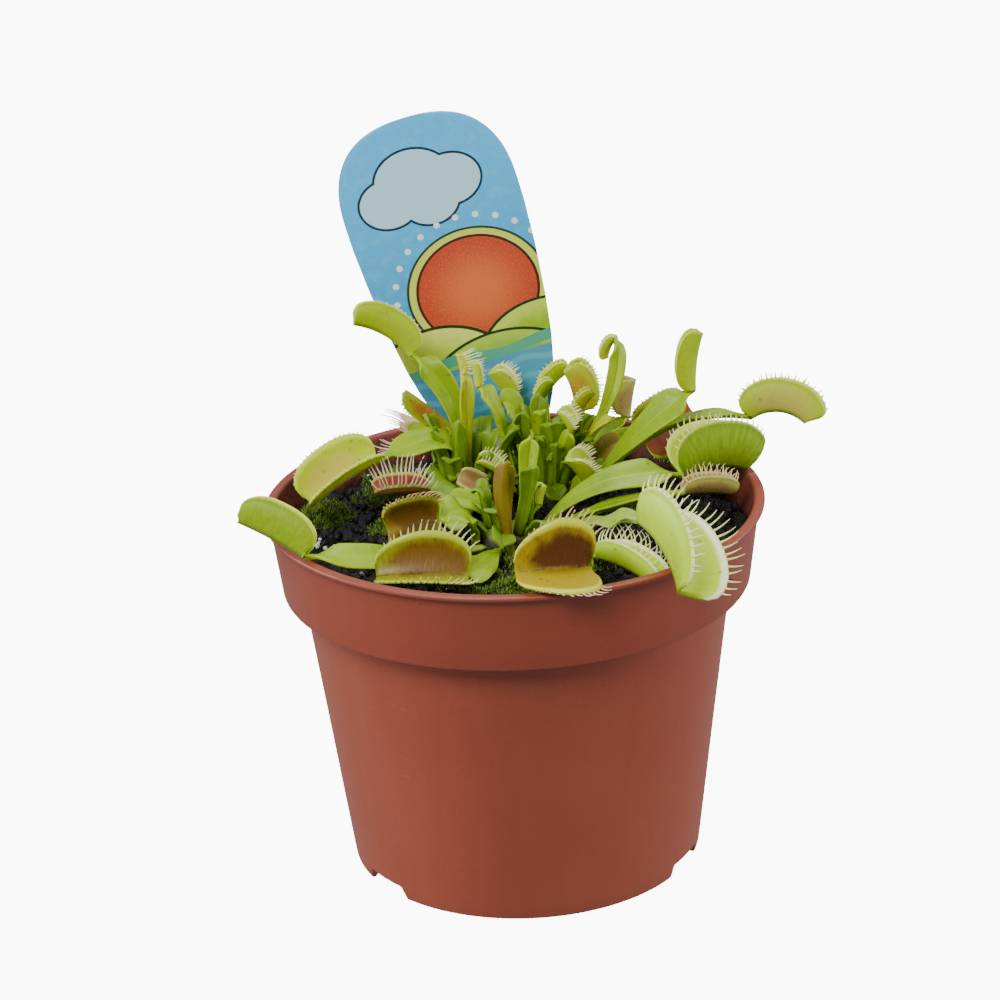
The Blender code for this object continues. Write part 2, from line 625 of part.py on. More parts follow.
    leaf("leaf_red_cilia", crown="left", turn=-124.5, veer=-4, reach=12.4, rise=7.2, arch=3.2,
         sway=0.8, lean=1.5, wing=8, fold=15, twist=-40, trap=10, aim=-168, lift=5, mouth=-10,
         gape=60, bulge=50, lobe=0.35, curve=10, fan=40, tooth=3.4, teeth=9)
    leaf("leaf_olive_open", crown="front", turn=-151, veer=-17, reach=14.4, rise=7.8, arch=2.7,
         sway=-0.7, lean=2, wing=8, fold=15, twist=-30, trap=9.5, aim=-157, lift=1, mouth=-55,
         gape=75, bulge=85, lobe=0.62, curve=15, fan=40, tooth=3, teeth=10)
    leaf("leaf_left_blade", crown="front", turn=159, veer=-47, reach=12.2, rise=7.5, root=6.5,
         arch=1.8, sway=0, lean=1.5, wing=4.5, fold=20, twist=-40, trap=0, rows=4)
    leaf("leaf_beige_small", crown="left", turn=-71, veer=-25, reach=9.1, rise=6.9, arch=1, sway=1,
         lean=-0.5, wing=3, twist=-150, trap=5.5, aim=180, lift=29, mouth=-60, gape=60, bulge=60,
         lobe=0.5, curve=10, fan=-10, tooth=1, teeth=5, rows=3, steps=4)
    leaf("leaf_inner_left", crown="left", turn=-44, veer=-1, reach=8.6, rise=8.5, arch=1.5,
         sway=0.5, lean=-0.5, wing=3.5, twist=-120, trap=5.5, aim=180, lift=33, mouth=-20, gape=50,
         bulge=60, lobe=0.45, curve=10, fan=-10, tooth=2, teeth=5, rows=3, steps=4)
    leaf("leaf_vertical", crown="left", turn=93, veer=-3, reach=3.2, rise=25, root=3, foot=4.7,
         arch=4.4, sway=0, lean=0.8, wing=3.6, fold=30, twist=60, base=1.4, trap=4, aim=180,
         lift=79, mouth=0, gape=25, bulge=50, lobe=0.3, curve=10, fan=-10, tooth=4, teeth=5,
         rows=4, steps=4)
    leaf("leaf_long_blade", crown="back", turn=-167, veer=-3, reach=13, rise=23.7, arch=4.6,
         sway=0.9, wing=4.4, fold=25, twist=-60, trap=4.5, aim=180, lift=85, mouth=0, gape=20,
         bulge=50, lobe=0.3, curve=0, fan=20, tooth=0, teeth=0, rows=4, steps=4)
    leaf("leaf_pale_point", crown="back", turn=175, veer=-12, reach=9, rise=18.5, arch=5.3,
         sway=-1.1, lean=1.5, wing=5.5, fold=25, twist=-50, trap=0, rows=4)
    leaf("leaf_green_trap", crown="back", turn=100, veer=20, reach=8, rise=16, root=3, foot=4.7,
         arch=2, sway=0, wing=4, fold=25, twist=-40, base=1.4, trap=5, aim=0, lift=54, mouth=0,
         gape=22, bulge=60, lobe=0.45, curve=10, fan=-10, tooth=0, teeth=0, rows=4, steps=4)
    leaf("leaf_frill", crown="back", turn=123, veer=4, reach=12.6, rise=16, arch=3.5, sway=-0.5,
         lean=-0.8, wing=3.4, fold=25, twist=25, trap=6.5, aim=180, lift=57, mouth=0, gape=50,
         bulge=40, lobe=0.55, curve=10, fan=-10, tooth=1.5, teeth=5, rows=4, steps=3)
    leaf("leaf_small_cilia_a", crown="back", turn=-60, veer=-22, reach=8, rise=15.8, root=3,
         foot=4.7, arch=0.8, sway=-0.1, lean=0, wing=4, fold=25, twist=-110, base=1.4, trap=4.5,
         aim=180, lift=60, mouth=-20, gape=60, bulge=60, lobe=0.5, curve=10, fan=-10, tooth=1.5,
         teeth=5, rows=4, steps=4)
    leaf("leaf_folded_right", crown="back", turn=-17, veer=-28, reach=5.5, rise=16.8, root=3,
         foot=4.7, arch=1, wing=4, fold=35, twist=40, base=1.4, trap=5.2, aim=0, lift=53, mouth=0,
         gape=22, bulge=50, lobe=0.4, curve=10, fan=20, tooth=0, teeth=0, rows=4, steps=4)
    leaf("leaf_small_cilia_b", crown="back", turn=-59, veer=-1, reach=11.6, rise=7, arch=1,
         sway=0.5, lean=-0.5, wing=3.4, fold=25, twist=-60, trap=6.5, aim=-145, lift=54, mouth=-30,
         gape=60, bulge=40, lobe=0.58, curve=10, fan=-10, tooth=1.8, teeth=6, rows=4, steps=3)
    leaf("leaf_blade_right", crown="back", turn=22, veer=8, reach=15, rise=8.4, arch=2.2,
         sway=-0.8, wing=5, fold=20, twist=50, trap=0, rows=4)
    leaf("leaf_bud", crown="front", turn=16, veer=0, reach=5.8, rise=7, root=3, foot=4.7, arch=0.3,
         wing=1.6, base=1.4, trap=3.8, aim=0, lift=75, gape=50, bulge=30, lobe=0.4, curve=10,
         fan=-10, rows=3, steps=3)
    leaf("leaf_yellow_tip", crown="back", turn=-20, veer=8, reach=12.8, rise=17, root=3, foot=4.7,
         arch=2, wing=2.4, fold=30, twist=40, base=1.4, trap=0, rows=4)
    leaf("leaf_mid_blade", crown="back", turn=-102, veer=-40, reach=5.4, rise=19, root=3, foot=4.7,
         arch=3, wing=3, fold=30, twist=30, base=1.4, trap=0, rows=4)


def main():
    """Build the whole plant, pot and label."""
    for obj in list(bpy.data.objects):
        bpy.data.objects.remove(obj)
    cutters = bpy.data.collections.new("cutters")
    bpy.context.scene.collection.children.link(cutters)
    make_pot(cutters)
    make_soil(cutters)
    make_label()
    for name, (x, y) in CROWNS.items():
        make_crown("crown_" + name, x, y)
    make_leaves()
    axis = bpy.data.objects.new("pot_axis", None)
    bpy.context.scene.collection.objects.link(axis)
    for obj in list(bpy.data.objects):
        if obj != axis:
            obj.parent = axis
    axis.location = (POT_AXIS[0] * MM, POT_AXIS[1] * MM, 0.0)


main()
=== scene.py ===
"""Looks of a potted venus flytrap: a round nursery pot with peat, moss, a plant label and
three crowns of toothed snap traps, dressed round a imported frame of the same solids.

Lengths in the maths are millimetres from the pot's own axis, +Z up from the ground;
meshes are made in metres in the frame's own axes.
"""

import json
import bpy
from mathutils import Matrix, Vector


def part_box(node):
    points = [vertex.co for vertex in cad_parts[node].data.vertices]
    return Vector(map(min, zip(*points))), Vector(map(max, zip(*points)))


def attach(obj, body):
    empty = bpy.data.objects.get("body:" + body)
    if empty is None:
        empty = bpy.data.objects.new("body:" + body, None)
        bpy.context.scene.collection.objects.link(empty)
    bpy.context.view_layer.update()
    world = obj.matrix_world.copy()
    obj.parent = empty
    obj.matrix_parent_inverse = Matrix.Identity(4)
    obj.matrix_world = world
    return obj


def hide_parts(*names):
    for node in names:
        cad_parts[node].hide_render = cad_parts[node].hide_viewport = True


bl_info = {
    "name": "Potted Flytrap Dresser",
    "version": (1, 0, 0),
    "blender": (4, 5, 0),
    "location": "View3D > Sidebar > Flytrap",
    "description": "Fine pot, soil, moss, label and leaves for a potted venus flytrap",
    "category": "Object",
}

from math import cos, pi, radians, sin

import bpy
import numpy as np
from bpy.props import FloatProperty, FloatVectorProperty, IntProperty, PointerProperty
from mathutils import Matrix, Vector

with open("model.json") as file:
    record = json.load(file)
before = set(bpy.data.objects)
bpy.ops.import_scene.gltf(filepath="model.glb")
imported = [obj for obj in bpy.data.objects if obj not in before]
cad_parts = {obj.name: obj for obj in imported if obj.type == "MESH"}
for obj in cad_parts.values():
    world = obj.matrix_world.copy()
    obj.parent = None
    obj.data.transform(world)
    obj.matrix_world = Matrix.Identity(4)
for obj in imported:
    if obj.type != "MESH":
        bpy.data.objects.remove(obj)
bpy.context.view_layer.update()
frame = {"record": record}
SLOTS = {part["node"]: part["material_slot"] for part in frame["record"]["subparts"]}

MM = 0.001
POT_LOW, POT_HIGH = (np.array(corner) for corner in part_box("pot"))
POT_CENTRE = (POT_LOW + POT_HIGH) / 2 * np.array([1.0, 1.0, 0.0])
RIM_RADIUS = float(POT_HIGH[0] - POT_LOW[0]) / 2 / MM
POT_HEIGHT = float(POT_HIGH[2]) / MM
SOIL_Z = 61.0
CROWNS = {"front": (-1.0, -5.0), "back": (7.0, 17.0), "left": (-8.0, 14.0)}


# ---------------------------------------------------------------- colour and shader maths

STUDIO = np.array([[1.37, -0.06, 0.0], [0.0, 1.50, -0.09], [0.04, -0.13, 1.38]])
STUDIO_GAMMA = 1.11
STUDIO_GAIN = 1.15


def srgb(red, green, blue):
    """Base colour of a surface that should look like a screen colour of 0 to 255 in this studio.

    The colour as linear light, to a power and through a fixed matrix, which make up for the
    softer contrast and colour of the view.
    """
    c = np.array([red, green, blue]) / 255.0
    linear = np.where(c <= 0.04045, c / 12.92, ((c + 0.055) / 1.055) ** 2.4)
    return tuple(np.clip(STUDIO @ linear ** STUDIO_GAMMA / STUDIO_GAIN, 0.003, 0.9).tolist())


class Value:
    """A socket of a material; arithmetic with numbers or other sockets adds Math nodes."""

    def __init__(self, shader, socket):
        self.shader = shader
        self.socket = socket

    def __add__(self, other):
        return self.shader.maths("ADD", self, other)

    def __sub__(self, other):
        return self.shader.maths("SUBTRACT", self, other)

    def __rsub__(self, other):
        return self.shader.maths("SUBTRACT", other, self)

    def __mul__(self, other):
        return self.shader.maths("MULTIPLY", self, other)

    def __truediv__(self, other):
        return self.shader.maths("DIVIDE", self, other)

    def __pow__(self, other):
        return self.shader.maths("POWER", self, other)

    __radd__ = __add__
    __rmul__ = __mul__

    def size(self):
        """The value without its sign."""
        return self.shader.maths("ABSOLUTE", self)

    def wave(self):
        """The sine of the value."""
        return self.shader.maths("SINE", self)

    def rise(self, low, high):
        """0 below low, 1 above high, smooth between; low may be the greater."""
        if low > high:
            return 1 - self.rise(high, low)
        return self.shader.node("ShaderNodeMapRange", {"Value": self, "From Min": low, "From Max": high},
                                interpolation_type="SMOOTHSTEP")


class Shader:
    """A Principled material, with one call for any node and short ones for common maths."""

    def __init__(self, name, **constants):
        self.material = bpy.data.materials.new(name)
        self.material.use_nodes = True
        self.tree = self.material.node_tree
        self.principled = self.tree.nodes["Principled BSDF"]
        for key, value in constants.items():
            self.feed(self.principled.inputs[key.replace("_", " ")], value)

    def feed(self, socket, value):
        """Link a socket to a Value, or set it to a number, vector or colour."""
        if isinstance(value, Value):
            self.tree.links.new(value.socket, socket)
        elif socket.type == "RGBA":
            socket.default_value = (*value[:3], 1.0)
        else:
            socket.default_value = value

    def node(self, kind, inputs=None, output=0, **settings):
        """Any node: its settings, then its inputs by name or number, and one output."""
        node = self.tree.nodes.new(kind)
        for key, value in settings.items():
            setattr(node, key, value)
        for key, value in (inputs or {}).items():
            self.feed(node.inputs[key], value)
        return Value(self, node.outputs[output])

    def maths(self, operation, *values):
        """A Math node on one or two values."""
        return self.node("ShaderNodeMath", dict(enumerate(values)), operation=operation)

    def place(self):
        """The object's own coordinates, in metres."""
        return self.node("ShaderNodeTexCoord", output="Object")

    def attribute(self, name, output="Vector"):
        """A named attribute of the mesh."""
        return self.node("ShaderNodeAttribute", output=output, attribute_name=name)

    def parts(self, vector):
        """The three numbers of a vector."""
        split = self.node("ShaderNodeSeparateXYZ", {"Vector": vector})
        return [Value(self, socket) for socket in split.socket.node.outputs]

    def vector(self, x, y, z):
        """A vector from three numbers."""
        return self.node("ShaderNodeCombineXYZ", {"X": x, "Y": y, "Z": z})

    def noise(self, vector, scale, detail=3.0, roughness=0.55):
        """Fractal noise between 0 and 1, about a half on average."""
        return self.node("ShaderNodeTexNoise", {"Vector": vector, "Scale": scale, "Detail": detail,
                                                "Roughness": roughness})

    def cells(self, vector, scale):
        """Distance to the nearest of many scattered points."""
        return self.node("ShaderNodeTexVoronoi", {"Vector": vector, "Scale": scale})

    def mix(self, share, first, second):
        """Two colours mixed by a share."""
        return self.node("ShaderNodeMix", {0: share, 6: first, 7: second}, output=2, data_type="RGBA")

    def finish(self, colour, roughness=None, height=None, distance=0.0002, strength=1.0):
        """Feed the colour, roughness and bump, and give the material."""
        self.feed(self.principled.inputs["Base Color"], colour)
        if roughness is not None:
            self.feed(self.principled.inputs["Roughness"], roughness)
        if height is not None:
            bump = self.node("ShaderNodeBump", {"Height": height, "Distance": distance,
                                                "Strength": strength})
            self.feed(self.principled.inputs["Normal"], bump)
        return self.material


# ---------------------------------------------------------------- mesh tools


def unit(v):
    """Vectors made one long."""
    v = np.asarray(v, float)
    return v / np.maximum(np.linalg.norm(v, axis=-1, keepdims=True), 1e-12)


def ease(x, low, high):
    """0 below low, 1 above high, smooth between."""
    u = np.clip((np.asarray(x) - low) / (high - low), 0, 1)
    return u * u * (3 - 2 * u)


def circle(count):
    """Equal steps round a full turn."""
    return 2 * pi * np.arange(count) / count


def grid_faces(rows, columns, wrap=False):
    """Quads of a grid of points stored row by row; wrap joins the ends of each row."""
    i = np.arange(rows - 1)[:, None]
    j = np.arange(columns if wrap else columns - 1)[None]
    j2 = (j + 1) % columns
    corners = [i * columns + j, (i + 1) * columns + j, (i + 1) * columns + j2, i * columns + j2]
    return np.stack([np.broadcast_to(c, (rows - 1, j.size)) for c in corners], -1).reshape(-1, 4)


def fan(hub, ring, swapped):
    """Triangles from a hub to each step round a ring of point numbers; swapped turns them over."""
    steps = (np.roll(ring, -1), ring) if swapped else (ring, np.roll(ring, -1))
    return np.stack([np.full(len(ring), hub), *steps, np.full(len(ring), -1)], -1)


def capped_faces(rows, columns, swapped=True):
    """Faces of rings of points closed by a hub at each end, the two hubs stored last."""
    body = grid_faces(rows, columns, wrap=True)
    ring, hub = np.arange(columns), rows * columns
    return np.concatenate([body[:, ::-1] if swapped else body, fan(hub, ring, swapped),
                           fan(hub + 1, ring + hub - columns, not swapped)])


def turned(radius, height, first, last, centre=(0.0, 0.0), swapped=True):
    """A profile of radii and heights carried round an upright axis, with a hub at each end."""
    columns = max(radius.shape[1], height.shape[1])
    a = circle(columns)
    cx, cy = centre
    rings = np.stack([cx + radius * np.cos(a), cy + radius * np.sin(a), height + 0 * a], -1)
    points = np.concatenate([rings.reshape(-1, 3), [[cx, cy, first], [cx, cy, last]]])
    return points, capped_faces(len(rings), columns, swapped)


def sheet_faces(rows, columns):
    """Faces of two like grids, the upper stored first, joined round their rims."""
    face, size = grid_faces(rows, columns), rows * columns
    index = np.arange(size).reshape(rows, columns)
    rim = np.concatenate([index[:-1, 0], index[-1, :-1], index[::-1][:-1, -1], index[0, ::-1][:-1]])
    after = np.roll(rim, -1)
    edge = np.stack([rim, rim + size, after + size, after], -1)
    return np.concatenate([face, face[:, ::-1] + size, edge])


def copied_faces(faces, copies, count):
    """The faces of one shape of so many points, for copies stored one after another."""
    offsets = (np.arange(copies) * count)[:, None, None]
    return np.where(faces < 0, -1, faces + offsets).reshape(-1, 4)


def joined(parts):
    """Several (points, faces) sets as one."""
    start, points, faces = 0, [], []
    for some_points, some_faces in parts:
        points.append(some_points)
        faces.append(np.where(some_faces < 0, -1, some_faces + start))
        start += len(some_points)
    return np.concatenate(points), np.concatenate(faces)


def mesh_object(name, points, faces, attributes=None, smooth=True):
    """An object in the frame from points in mm from the pot's axis and rows of quads.

    A quad whose last corner is -1 is a triangle.  Attributes are float or 3-vector arrays.
    """
    sizes = np.where(faces[:, 3] < 0, 3, 4)
    loops = faces[faces >= 0]
    mesh = bpy.data.meshes.new(name)
    mesh.vertices.add(len(points))
    mesh.vertices.foreach_set("co", (points * MM + POT_CENTRE).ravel())
    mesh.loops.add(len(loops))
    mesh.loops.foreach_set("vertex_index", loops.astype(np.int32))
    mesh.polygons.add(len(faces))
    mesh.polygons.foreach_set("loop_start", (np.cumsum(sizes) - sizes).astype(np.int32))
    mesh.polygons.foreach_set("use_smooth", np.full(len(faces), smooth))
    for key, values in (attributes or {}).items():
        vectors = values.ndim == 2
        layer = mesh.attributes.new(key, "FLOAT_VECTOR" if vectors else "FLOAT", "POINT")
        layer.data.foreach_set("vector" if vectors else "value", values.astype(np.float32).ravel())
    mesh.update(calc_edges=True)
    mesh.validate()
    return linked(bpy.data.objects.new(name, mesh))


def linked(obj):
    """The object, put in the scene."""
    bpy.context.scene.collection.objects.link(obj)
    return obj


def dress(obj, material, slot, *nodes):
    """Give a piece its material, its body and the nodes it stands for; the slot is not used."""
    obj.data.materials.append(material)
    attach(obj, "root")
    if nodes:
        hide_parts(*nodes)


def scattered(shape, faces, places, sizes, turns, tilts):
    """Copies of a small shape: each scaled, tilted about X, turned about Z and placed."""
    c, s = np.cos(turns), np.sin(turns)
    ct, st = np.cos(tilts), np.sin(tilts)
    zero, one = np.zeros_like(c), np.ones_like(c)
    tilt = np.stack([one, zero, zero, zero, ct, -st, zero, st, ct], -1).reshape(-1, 3, 3)
    turn = np.stack([c, -s, zero, s, c, zero, zero, zero, one], -1).reshape(-1, 3, 3)
    points = np.einsum("nij,nvj->nvi", turn @ tilt, shape * sizes[:, None, None]) + places[:, None]
    return points.reshape(-1, 3), copied_faces(faces, len(places), points.shape[1])


def ball(rings, sides):
    """A unit ball: latitude rings between two poles, as points and faces."""
    lat = (pi * np.arange(1, rings) / rings)[:, None]
    return turned(np.sin(lat) + np.zeros(sides), np.cos(lat), 1.0, -1.0, swapped=False)


def tubes(path, radii, sides):
    """Tubes round many paths of points, pinched to a point at each end.

    Each ring lies across its path's tangent, on two directions square to it.
    """
    count, rings = path.shape[:2]
    tangent = unit(np.gradient(path, axis=1))
    helper = np.where(np.abs(tangent[..., 2:]) > 0.9, [[[1.0, 0, 0]]], [[[0, 0, 1.0]]])
    first = unit(np.cross(tangent, helper))
    second = np.cross(tangent, first)
    a = circle(sides)[:, None]
    radii = np.broadcast_to(radii, (count, rings))[:, :, None, None]
    ring = path[:, :, None] + radii * (first[:, :, None] * np.cos(a) + second[:, :, None] * np.sin(a))
    points = np.concatenate([ring.reshape(count, -1, 3), path[:, [0, -1]]], 1)
    return points.reshape(-1, 3), copied_faces(capped_faces(rings, sides), count, points.shape[1])


# ---------------------------------------------------------------- pot

NOTCH_ANGLES = (-144.0, -27.0, 93.0)
NOTCH_HALF_ANGLE = 9.6
NOTCH_HEIGHT = 2.4
FLOOR_LOW = 3.0
FLOOR_TOP = 4.0
CORNER_RADIUS = 0.55


def rounded(profile, radius, steps=4):
    """A profile whose inner corners are each replaced by a quadratic curve of a radius."""
    p = np.array(profile, float)
    result = [p[:1]]
    for before, corner, after in zip(p[:-2], p[1:-1], p[2:]):
        reach = min(radius, np.linalg.norm(before - corner) / 2.1, np.linalg.norm(after - corner) / 2.1)
        a = corner + unit(before - corner) * reach
        b = corner + unit(after - corner) * reach
        t = np.linspace(0, 1, steps + 1)[:, None]
        result.append((1 - t) ** 2 * a + 2 * t * (1 - t) * corner + t * t * b)
    result.append(p[-1:])
    return np.concatenate(result)


def pot_profile():
    """Half section of the pot, from the floor's underside round the wall to the floor's top."""
    top, rim = POT_HEIGHT, RIM_RADIUS
    foot = [(0.02, FLOOR_LOW), (30.2, FLOOR_LOW), (31.05, 0.0), (32.1, 0.0), (32.5, 3.0)]
    wall = [(35.6, 28.0), (38.8, 53.0)]
    collar = [(rim - 2.75, 53.2), (rim - 1.9, 60.0), (rim - 1.0, top - 1.1)]
    lip = [(rim, top - 0.9), (rim, top), (rim - 1.95, top), (rim - 2.1, top - 2.0)]
    inside = [(rim - 3.7, 54.2), (37.9, 54.2), (31.5, FLOOR_TOP), (0.02, FLOOR_TOP)]
    return rounded(foot + wall + collar + lip + inside, CORNER_RADIUS)


def pot_surface(columns=360):
    """The half section carried round a circle; near the ground each point is lifted to a
    notch's height times a smooth window round the notch's angle."""
    profile = pot_profile()
    angle = np.degrees(circle(columns))
    away = np.min([np.abs((angle - centre + 180) % 360 - 180) for centre in NOTCH_ANGLES], 0)
    window = np.clip((NOTCH_HALF_ANGLE - away) / 2.0, 0, 1) ** 0.6
    r, z = profile[:, :1], profile[:, 1:]
    lifted = np.maximum(z, np.where(r > 30.0, NOTCH_HEIGHT * window, z))
    return turned(r, lifted, FLOOR_LOW, FLOOR_TOP)


def drills(count, radius, ring):
    """Upright cylinders through the floor, evenly round a ring."""
    heights = np.array([[FLOOR_LOW - 2.0], [FLOOR_TOP + 2.0]])
    body, faces = turned(np.full((2, 24), radius), heights, heights[0, 0], heights[1, 0])
    turn = circle(count) + pi / count
    places = np.stack([np.cos(turn), np.sin(turn), 0 * turn], -1) * ring
    one, nil = np.ones(count), np.zeros(count)
    return scattered(body[None], faces, places, one, nil, nil)


def pot_material(settings):
    """Matt terracotta-brown plastic: mottled, faintly streaked, painted shade darkening the inner wall,
    peat dust inside and on the rim.
    """
    sh = Shader("terracotta plastic", Specular_IOR_Level=0.5)
    at = sh.place()
    x, y, z = sh.parts(at)
    cloud = sh.noise(at, 28.0, 4.0)
    fine = sh.noise(at, 900.0, 3.0, 0.6)
    streak = sh.noise(sh.vector(x * 260, y * 260, z * 14), 1.0, 3.0)
    colour = sh.mix((cloud * 0.7 + streak * 0.3).rise(0.3, 0.72), settings.colour, settings.light)
    scuff = sh.noise(sh.vector(x * 90 + z * 40, y * 90, z * 420), 1.0, 4.0, 0.7).rise(0.66, 0.78)
    colour = sh.mix(scuff * 0.18, colour, srgb(196, 140, 118))
    colour = sh.mix(z.rise(0.0525, 0.0535) * 0.45, colour, srgb(124, 53, 34))
    cx, cy = x - float(POT_CENTRE[0]), y - float(POT_CENTRE[1])
    radius = (cx * cx + cy * cy) ** 0.5
    wall = 0.032 + (z - 0.004) * 0.1255 + z.rise(0.0532, 0.0542) * (RIM_RADIUS - 41.6) * MM
    inside = (wall - radius).rise(-0.0003, 0.0003) * z.rise(0.004, 0.006)
    low = z.rise((POT_HEIGHT - 1.0) * MM, (SOIL_Z - 1.0) * MM)
    dust = sh.noise(at, 420.0, 5.0, 0.7) + low * 0.22 - 0.06
    # Painted shade: the inner wall is darkened as if shaded by the rim and the plant.
    colour = sh.mix(inside * 0.55, colour, srgb(92, 40, 28))
    colour = sh.mix(inside * dust.rise(0.5, 0.72) * 0.85, colour, srgb(30, 20, 14))
    crumbs = sh.noise(at, 650.0, 2.0, 0.5).rise(0.72, 0.78) * z.rise(0.058, 0.067)
    colour = sh.mix(crumbs * 0.5, colour, srgb(60, 34, 24))
    rough = 0.36 + cloud * 0.12 + scuff * 0.2 + inside * 0.2
    return sh.finish(colour, rough, fine * 0.5 + cloud * 0.6, 0.00025, 0.35)


class PotSettings(bpy.types.PropertyGroup):
    """Sizes and colours of the pot."""

    colour: FloatVectorProperty(
        name="Colour", description="Main colour of the plastic", subtype="COLOR", default=srgb(140, 66, 45))
    light: FloatVectorProperty(
        name="Light colour", description="Colour of its lighter clouds", subtype="COLOR",
        default=srgb(146, 73, 52))
    drain_radius: FloatProperty(
        name="Drain hole radius", description="Radius of each hole in the floor", default=0.003,
        subtype="DISTANCE", unit="LENGTH")
    drain_circle: FloatProperty(
        name="Drain circle", description="Radius of the ring of holes", default=0.020,
        subtype="DISTANCE", unit="LENGTH")
    drain_count: IntProperty(name="Drain holes", description="Holes in the floor", default=6, min=1)


class FLYTRAP_OT_pot(bpy.types.Operator):
    """Turn the pot with its collar, rim, notched foot and drain holes"""

    bl_idname = "flytrap.pot"
    bl_label = "Pot"

    def execute(self, context):
        """Build the shell, then cut the drain holes with one Boolean of upright cylinders."""
        settings = context.scene.flytrap_pot
        pot = mesh_object("pot_shell", *pot_surface())
        cutter = mesh_object("drills", *drills(settings.drain_count, settings.drain_radius / MM,
                                               settings.drain_circle / MM))
        cut = pot.modifiers.new("drain", "BOOLEAN")
        cut.object = cutter
        cut.solver = "EXACT"
        graph = context.evaluated_depsgraph_get()
        cleared = bpy.data.meshes.new_from_object(pot.evaluated_get(graph))
        pot.modifiers.clear()
        pot.data = cleared
        bpy.data.objects.remove(cutter)
        cleared.shade_smooth()
        cleared.set_sharp_from_angle(angle=radians(50))
        dress(pot, pot_material(settings), "pot_plastic", "pot")
        return {"FINISHED"}


# ---------------------------------------------------------------- soil

SOIL_INSET = 2.9
SOIL_DEPTH = 4.0
GRIT_HEAP = (-36.3, -1.6)


def value_noise(x, y, seed):
    """Smooth noise in 0 to 1 over a plane: random corners of a unit grid, eased between."""
    side = 256
    table = np.random.default_rng(seed).random((side, side))
    i, j = np.floor(x).astype(int), np.floor(y).astype(int)
    u, v = ease(x - i, 0, 1), ease(y - j, 0, 1)
    a, b = table[i % side, j % side], table[(i + 1) % side, j % side]
    c, d = table[i % side, (j + 1) % side], table[(i + 1) % side, (j + 1) % side]
    return (a * (1 - u) + b * u) * (1 - v) + (c * (1 - u) + d * u) * v


def soil_height(x, y):
    """Slow waves over the soil, calm near the crowns."""
    wave = np.sin(0.31 * x + 1.3) * np.cos(0.27 * y - 0.4) + 0.6 * np.sin(0.53 * x - 0.47 * y + 2.1)
    calm = np.ones_like(x)
    for cx, cy in CROWNS.values():
        calm = np.minimum(calm, np.clip((np.hypot(x - cx, y - cy) - 6.0) / 8.0, 0, 1))
    return SOIL_Z + 0.45 * wave * calm


def crumbled_height(x, y):
    """The soil's waves with lumps of three sizes, sharpened at their creases."""
    lumps = np.zeros_like(x)
    for index, (pitch, tall) in enumerate(((3.4, 1.5), (1.5, 0.9), (0.65, 0.45))):
        n = value_noise(x / pitch + 40, y / pitch + 40, 11 + index)
        lumps += tall * (np.abs(2 * n - 1) ** 0.8 - 0.45)
    return soil_height(x, y) + lumps


def peat_material():
    """Wet black peat: near-black clods with brown fibre and small bright wet glints."""
    sh = Shader("peat", Specular_IOR_Level=0.3)
    at = sh.place()
    clods = sh.noise(at, 380.0, 5.0, 0.7)
    grains = sh.noise(at, 1500.0, 3.0, 0.6)
    colour = sh.mix(clods.rise(0.4, 0.75), srgb(9, 7, 6), srgb(28, 22, 17))
    colour = sh.mix(grains.rise(0.62, 0.74) * 0.6, colour, srgb(84, 66, 50))
    return sh.finish(colour, 0.85 - grains * 0.65, clods * 0.7 + grains * 0.5, 0.0006, 0.9)


def perlite_material():
    """White expanded grit, pitted and a little stained."""
    sh = Shader("perlite", Specular_IOR_Level=0.5)
    pits = sh.noise(sh.place(), 2400.0, 3.0, 0.6)
    colour = sh.mix(pits.rise(0.35, 0.6), srgb(150, 142, 130), srgb(236, 234, 228))
    return sh.finish(colour, 0.7, pits, 0.0003, 0.8)


def moss_material():
    """Moss leaflets, yellow-green at the tips and dark at the base, by their own shade attribute."""
    sh = Shader("moss", Roughness=0.55, Subsurface_Weight=0.12, Subsurface_Scale=0.0006)
    wander = sh.noise(sh.place(), 160.0, 2.0)
    colour = sh.mix(sh.attribute("shade", "Fac"), srgb(44, 58, 18), srgb(140, 158, 66))
    return sh.finish(sh.mix(wander.rise(0.45, 0.7) * 0.5, colour, srgb(84, 112, 36)))


def soil_surface(radius, rings=150, columns=420):
    """Polar grid of the crumbled height, its rings closer together outwards, and a skirt below."""
    r = radius * (np.arange(1, rings + 1) / rings)[:, None] ** 0.75
    a = circle(columns)
    height = crumbled_height(r * np.cos(a), r * np.sin(a))
    base = SOIL_Z - SOIL_DEPTH
    middle = crumbled_height(np.zeros(1), np.zeros(1))[0]
    return turned(np.vstack([r, [[radius]]]), np.vstack([height, np.full(columns, base)]),
                  middle, base, swapped=False)


def lumps(rng, count, radius, low, high):
    """Crumbs on the soil: small balls with each point pushed in or out at random."""
    body, faces = ball(4, 6)
    shapes = body * (1 + rng.uniform(-0.35, 0.35, (count, len(body), 1)))
    shapes = shapes * rng.uniform(0.6, 1.2, (count, 1, 3))
    r = radius * np.sqrt(rng.random(count))
    a = rng.uniform(0, 2 * pi, count)
    x, y = r * np.cos(a), r * np.sin(a)
    size = rng.uniform(low, high, count) ** 1.5
    places = np.stack([x, y, crumbled_height(x, y) + size * 0.3], -1)
    return scattered(shapes, faces, places, size, rng.uniform(0, 2 * pi, count), rng.uniform(0, pi, count))


